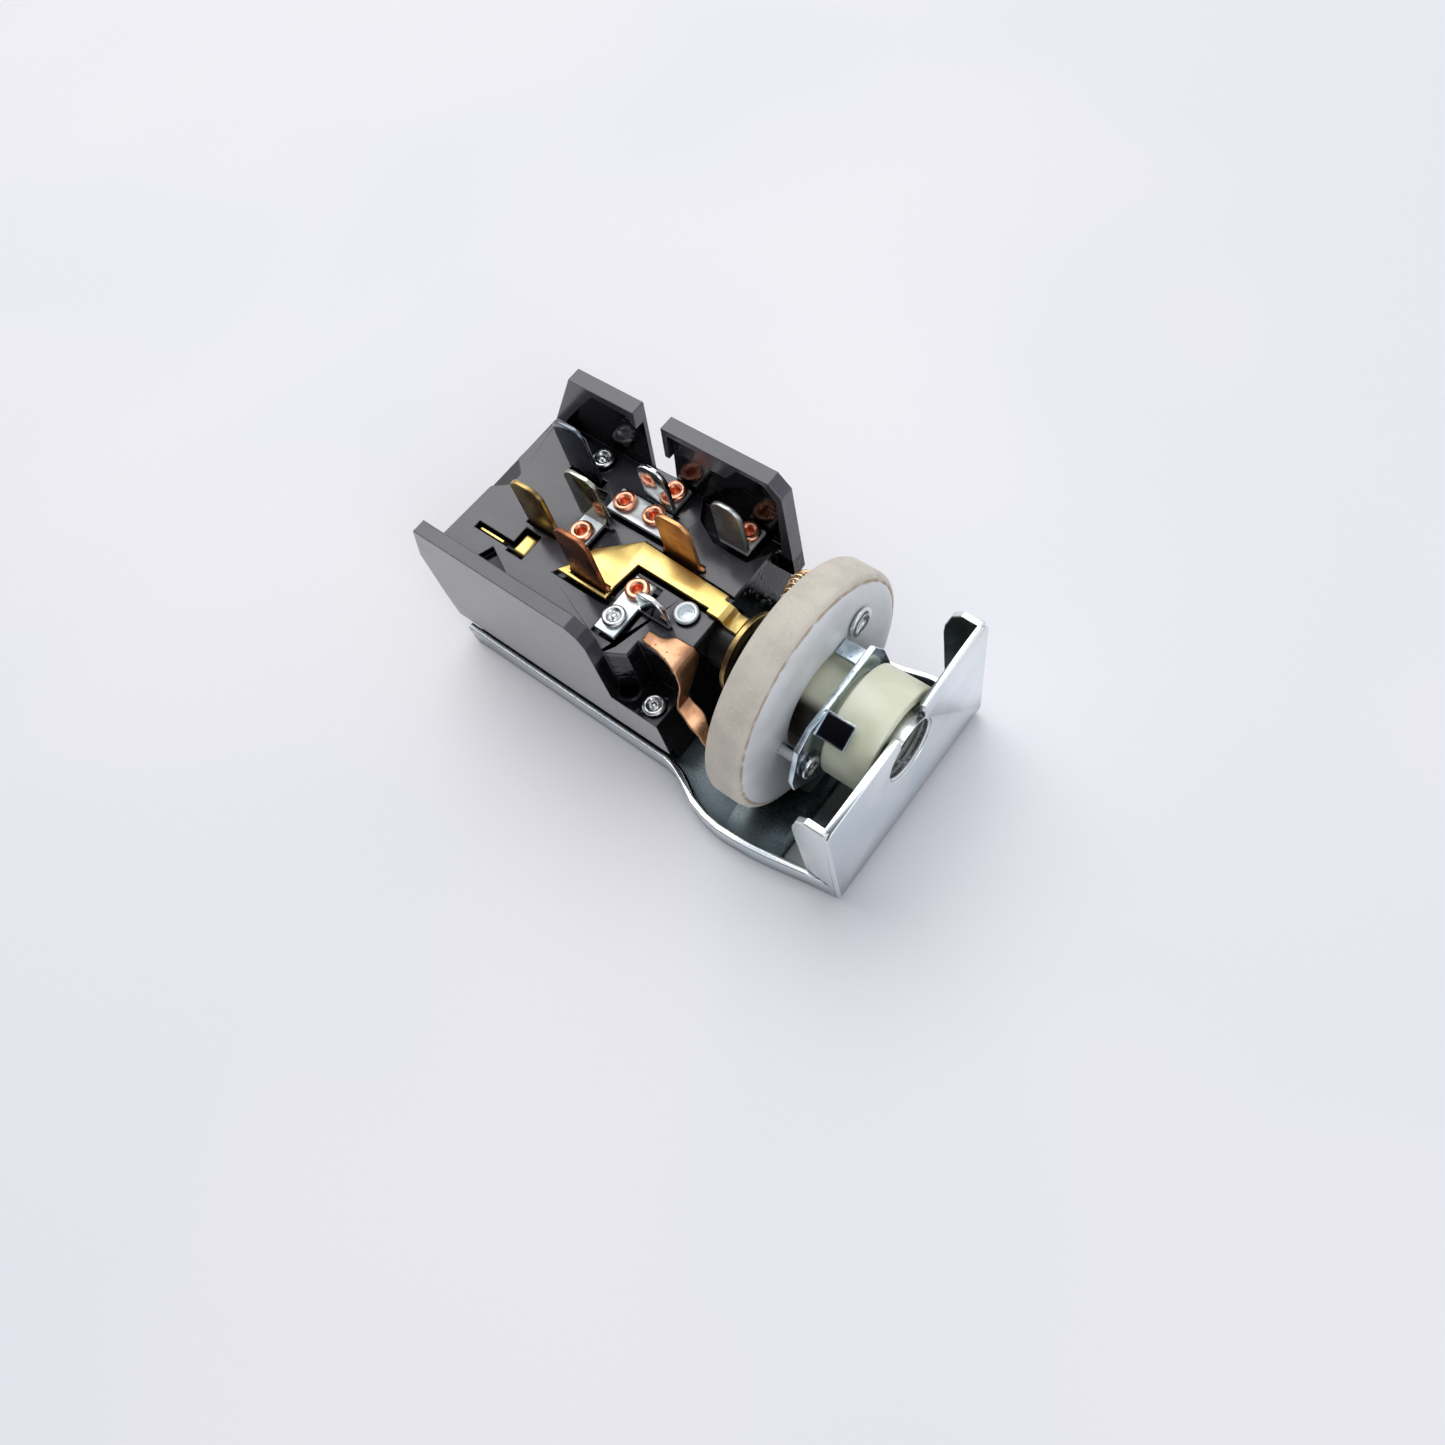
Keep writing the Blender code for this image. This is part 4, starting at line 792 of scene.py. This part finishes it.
def hub():
    """Nylon hub with its bore, the sleeve through the disc and the thin spigot behind."""
    outline = [
        (SPIGOT_R, SPIGOT_END), (SPIGOT_R, SLEEVE_END), (SLEEVE_R, SLEEVE_END), (SLEEVE_R, HUB_BACK),
        (HUB_R, HUB_BACK), (HUB_R, HUB_FRONT), (COLLAR_BORE, HUB_FRONT), (COLLAR_BORE, COLLAR_BORE_END),
        (HUB_BORE, COLLAR_BORE_END), (HUB_BORE, SPIGOT_END),
    ]
    work = spun(softened(outline, 0.35, 4), spot(0, 0, SHAFT_Z), (0.0, 1.0, 0.0), 96)
    finish_piece("nylon_hub", as_mesh(work, "nylon_hub"), "drive_hub", "nylon", sharp=40.0)


def winding():
    """Close turns of resistance wire round the disc's groove, standing proud near the start."""
    per_turn = 10
    points = []
    total = COIL_TURNS * per_turn
    for i in range(total + 1):
        along = COIL_START + COIL_SPAN * i / total
        lift = math.exp(-((along - LIFT_MIDDLE) / LIFT_WIDTH) ** 2)
        angle = math.radians(along)
        turn = 2 * math.pi * i / per_turn
        radius = COIL_R + 2.4 * lift + COIL_TURN_R * math.cos(turn)
        back = COIL_Y + 0.7 * lift + COIL_TURN_R * math.sin(turn)
        points.append(spot(radius * math.cos(angle), back, SHAFT_Z + radius * math.sin(angle)))
    mesh = wire_mesh("resistance_winding", points, COIL_WIRE, 1)
    finish_piece("resistance_winding", mesh, "resistance_coil", "wire", sharp=60.0)


def rings():
    """The flat contact ring and the waved spring washer behind it."""
    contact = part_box("contact_ring")
    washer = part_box("wave_washer")
    inner = SPIGOT_R + 0.3
    for name, node, (low, high), finish, wave in (
        ("brass_contact_ring", "contact_ring", contact, "dark_brass", 0.0),
        ("spring_washer", "wave_washer", washer, "steel", 0.22),
    ):
        outer = (high[0] - low[0]) / 2 / MM
        front = low[1] / MM - PLATE_Y
        back = high[1] / MM - PLATE_Y
        outline = softened([(outer, back), (outer, front), (inner, front), (inner, back)], 0.12, 2)
        work = spun(outline, spot(0, 0, SHAFT_Z), (0.0, 1.0, 0.0), 72)
        for vert in work.verts:
            angle = math.atan2(vert.co.z / MM - SHAFT_Z, vert.co.x / MM - SHAFT_X)
            vert.co.y += wave * math.sin(3 * angle) * MM
        finish_piece(name, as_mesh(work, name), node, finish, sharp=50.0)


# ------------------------------------------------------------------ small parts

def panel_thread():
    """Screw thread cut in the bracket's collar, open where the hole meets the plate's edge."""
    start = 0.15
    wall = THREAD_ROOT + 0.35
    outline = [(wall, start)]
    for i in range(int(THREAD_LENGTH / THREAD_PITCH) + 1):
        low = start + i * THREAD_PITCH * 0.98
        outline += [(THREAD_ROOT, low), (THREAD_CREST, low + THREAD_PITCH * 0.42)]
        outline += [(THREAD_CREST, low + THREAD_PITCH * 0.56)]
    end = outline[-1][1] + 0.2
    outline += [(THREAD_ROOT, end), (wall, end), outline[0]]
    open_left, open_right = (math.degrees(math.acos(side / HOLE_R)) + 1.0 for side in OPENING)
    sweep = 360.0 - (open_left - open_right)
    work = spun(outline, spot(0, 0, SHAFT_Z), (0.0, 1.0, 0.0), 80, sweep, -open_left)
    bmesh.ops.holes_fill(work, edges=[edge for edge in work.edges if edge.is_boundary], sides=0)
    bmesh.ops.recalc_face_normals(work, faces=work.faces)
    finish_piece("panel_thread", as_mesh(work, "panel_thread"), "mounting_bracket", "steel", False, 25.0)


def button():
    """The release button: a cupped cap, its stem and the stem's head inside the housing."""
    low, high = (Vector(corner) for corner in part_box("release_button"))
    middle = (low + high) / 2
    out = high.x / MM
    start = low.x / MM
    head = 2.0
    outline = [
        (0.0, out - 0.25), (1.9, out - 0.22), (2.3, out), (2.75, out), (3.1, out - 0.4),
        (3.1, out - head),
        (1.6, out - head), (1.6, start + 0.8), (2.2, start + 0.6), (1.7, start), (0.0, start),
    ]
    outline = softened(outline, 0.16, 3, closed=False)
    work = spun(outline, Vector((0.0, middle.y, middle.z)), (1.0, 0.0, 0.0), 48)
    finish_piece("button_cap", as_mesh(work, "button_cap"), "release_button", "red", sharp=45.0)


def ball():
    """The round ball of the slide's detent."""
    low, high = (Vector(corner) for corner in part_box("detent_ball"))
    work = bmesh.new()
    place = Matrix.Translation((low + high) / 2)
    radius = (high.x - low.x) / 2
    bmesh.ops.create_uvsphere(work, u_segments=32, v_segments=20, radius=radius, matrix=place)
    finish_piece("steel_ball", as_mesh(work, "steel_ball"), "detent_ball", "steel")


def kept_nodes():
    """CAD nodes that keep their own shape and take a finished material."""
    for node in ("bridge_spring_near", "bridge_spring_far", "detent_spring", "button_spring"):
        for entry in frame["nodes"][node].material_slots:
            entry.link = "OBJECT"
            entry.material = FINISHES["steel"]


# ------------------------------------------------------------------ camera, floor and lights

def camera():
    """Camera whose place, turn and lens were solved together with the switch."""
    lens = bpy.data.cameras.new("view")
    lens.sensor_width = 36.0
    lens.lens = 27.45
    lens.clip_start = 0.01
    made = bpy.data.objects.new("view", lens)
    made.location = Vector((-49.049, -75.970, 158.622)) * MM
    made.rotation_euler = [math.radians(v) for v in (25.721, 9.34, -51.971)]
    bpy.context.scene.collection.objects.link(made)
    bpy.context.scene.camera = made


def softbox(name, place, target, size, brightness, colour):
    """A square area light of a given brightness, which falls on the target."""
    lamp = bpy.data.lights.new(name, "AREA")
    lamp.shape = "SQUARE"
    lamp.size = size
    lamp.energy = brightness * math.pi * size * size
    lamp.color = colour
    made = bpy.data.objects.new(name, lamp)
    made.location = place
    made.rotation_euler = (Vector(target) - Vector(place)).to_track_quat("-Z", "Y").to_euler()
    bpy.context.scene.collection.objects.link(made)


def room():
    """Bright even surroundings with a darker side, which the bent metal parts mirror."""
    world = bpy.data.worlds.new("room")
    world.use_nodes = True
    tree = world.node_tree
    shade = tree.nodes["Background"]
    way = tree.nodes.new("ShaderNodeTexCoord")
    toward = tree.nodes.new("ShaderNodeVectorMath")
    toward.operation = "DOT_PRODUCT"
    toward.inputs[1].default_value = Vector((-0.81, 0.23, 0.45)).normalized()
    fade = tree.nodes.new("ShaderNodeMapRange")
    fade.inputs["From Min"].default_value = 0.55
    fade.inputs["From Max"].default_value = 0.95
    fade.inputs["To Min"].default_value = 0.85
    fade.inputs["To Max"].default_value = 0.10
    tree.links.new(way.outputs["Generated"], toward.inputs[0])
    tree.links.new(toward.outputs["Value"], fade.inputs["Value"])
    tree.links.new(fade.outputs["Result"], shade.inputs["Strength"])
    shade.inputs["Color"].default_value = (0.93, 0.94, 1.0, 1.0)
    bpy.context.scene.world = world


def studio():
    """Pale table, a bright window behind and a soft fill in front."""
    work = bmesh.new()
    ground = Matrix.Translation((0.0, 0.0, -0.00005))
    bmesh.ops.create_grid(work, x_segments=1, y_segments=1, size=1.5, matrix=ground)
    floor = bpy.data.objects.new("table", as_mesh(work, "table"))
    floor.data.materials.append(table_top("pale_table"))
    bpy.context.scene.collection.objects.link(floor)
    softbox("back_window", (0.28, 0.42, 0.92), (0.0, 0.0, 0.01), 0.8, 2.2, (1.0, 0.99, 0.97))
    softbox("front_fill", (-0.25, -0.85, 0.60), (0.0, 0.0, 0.01), 0.5, 1.6, (0.97, 0.98, 1.0))
    room()
    bpy.context.scene.view_settings.view_transform = "Standard"


camera()
studio()
sheet_parts()
mouldings()
wiper()
rivets()
stake_lugs()
disc()
hub()
winding()
rings()
panel_thread()
button()
ball()
kept_nodes()
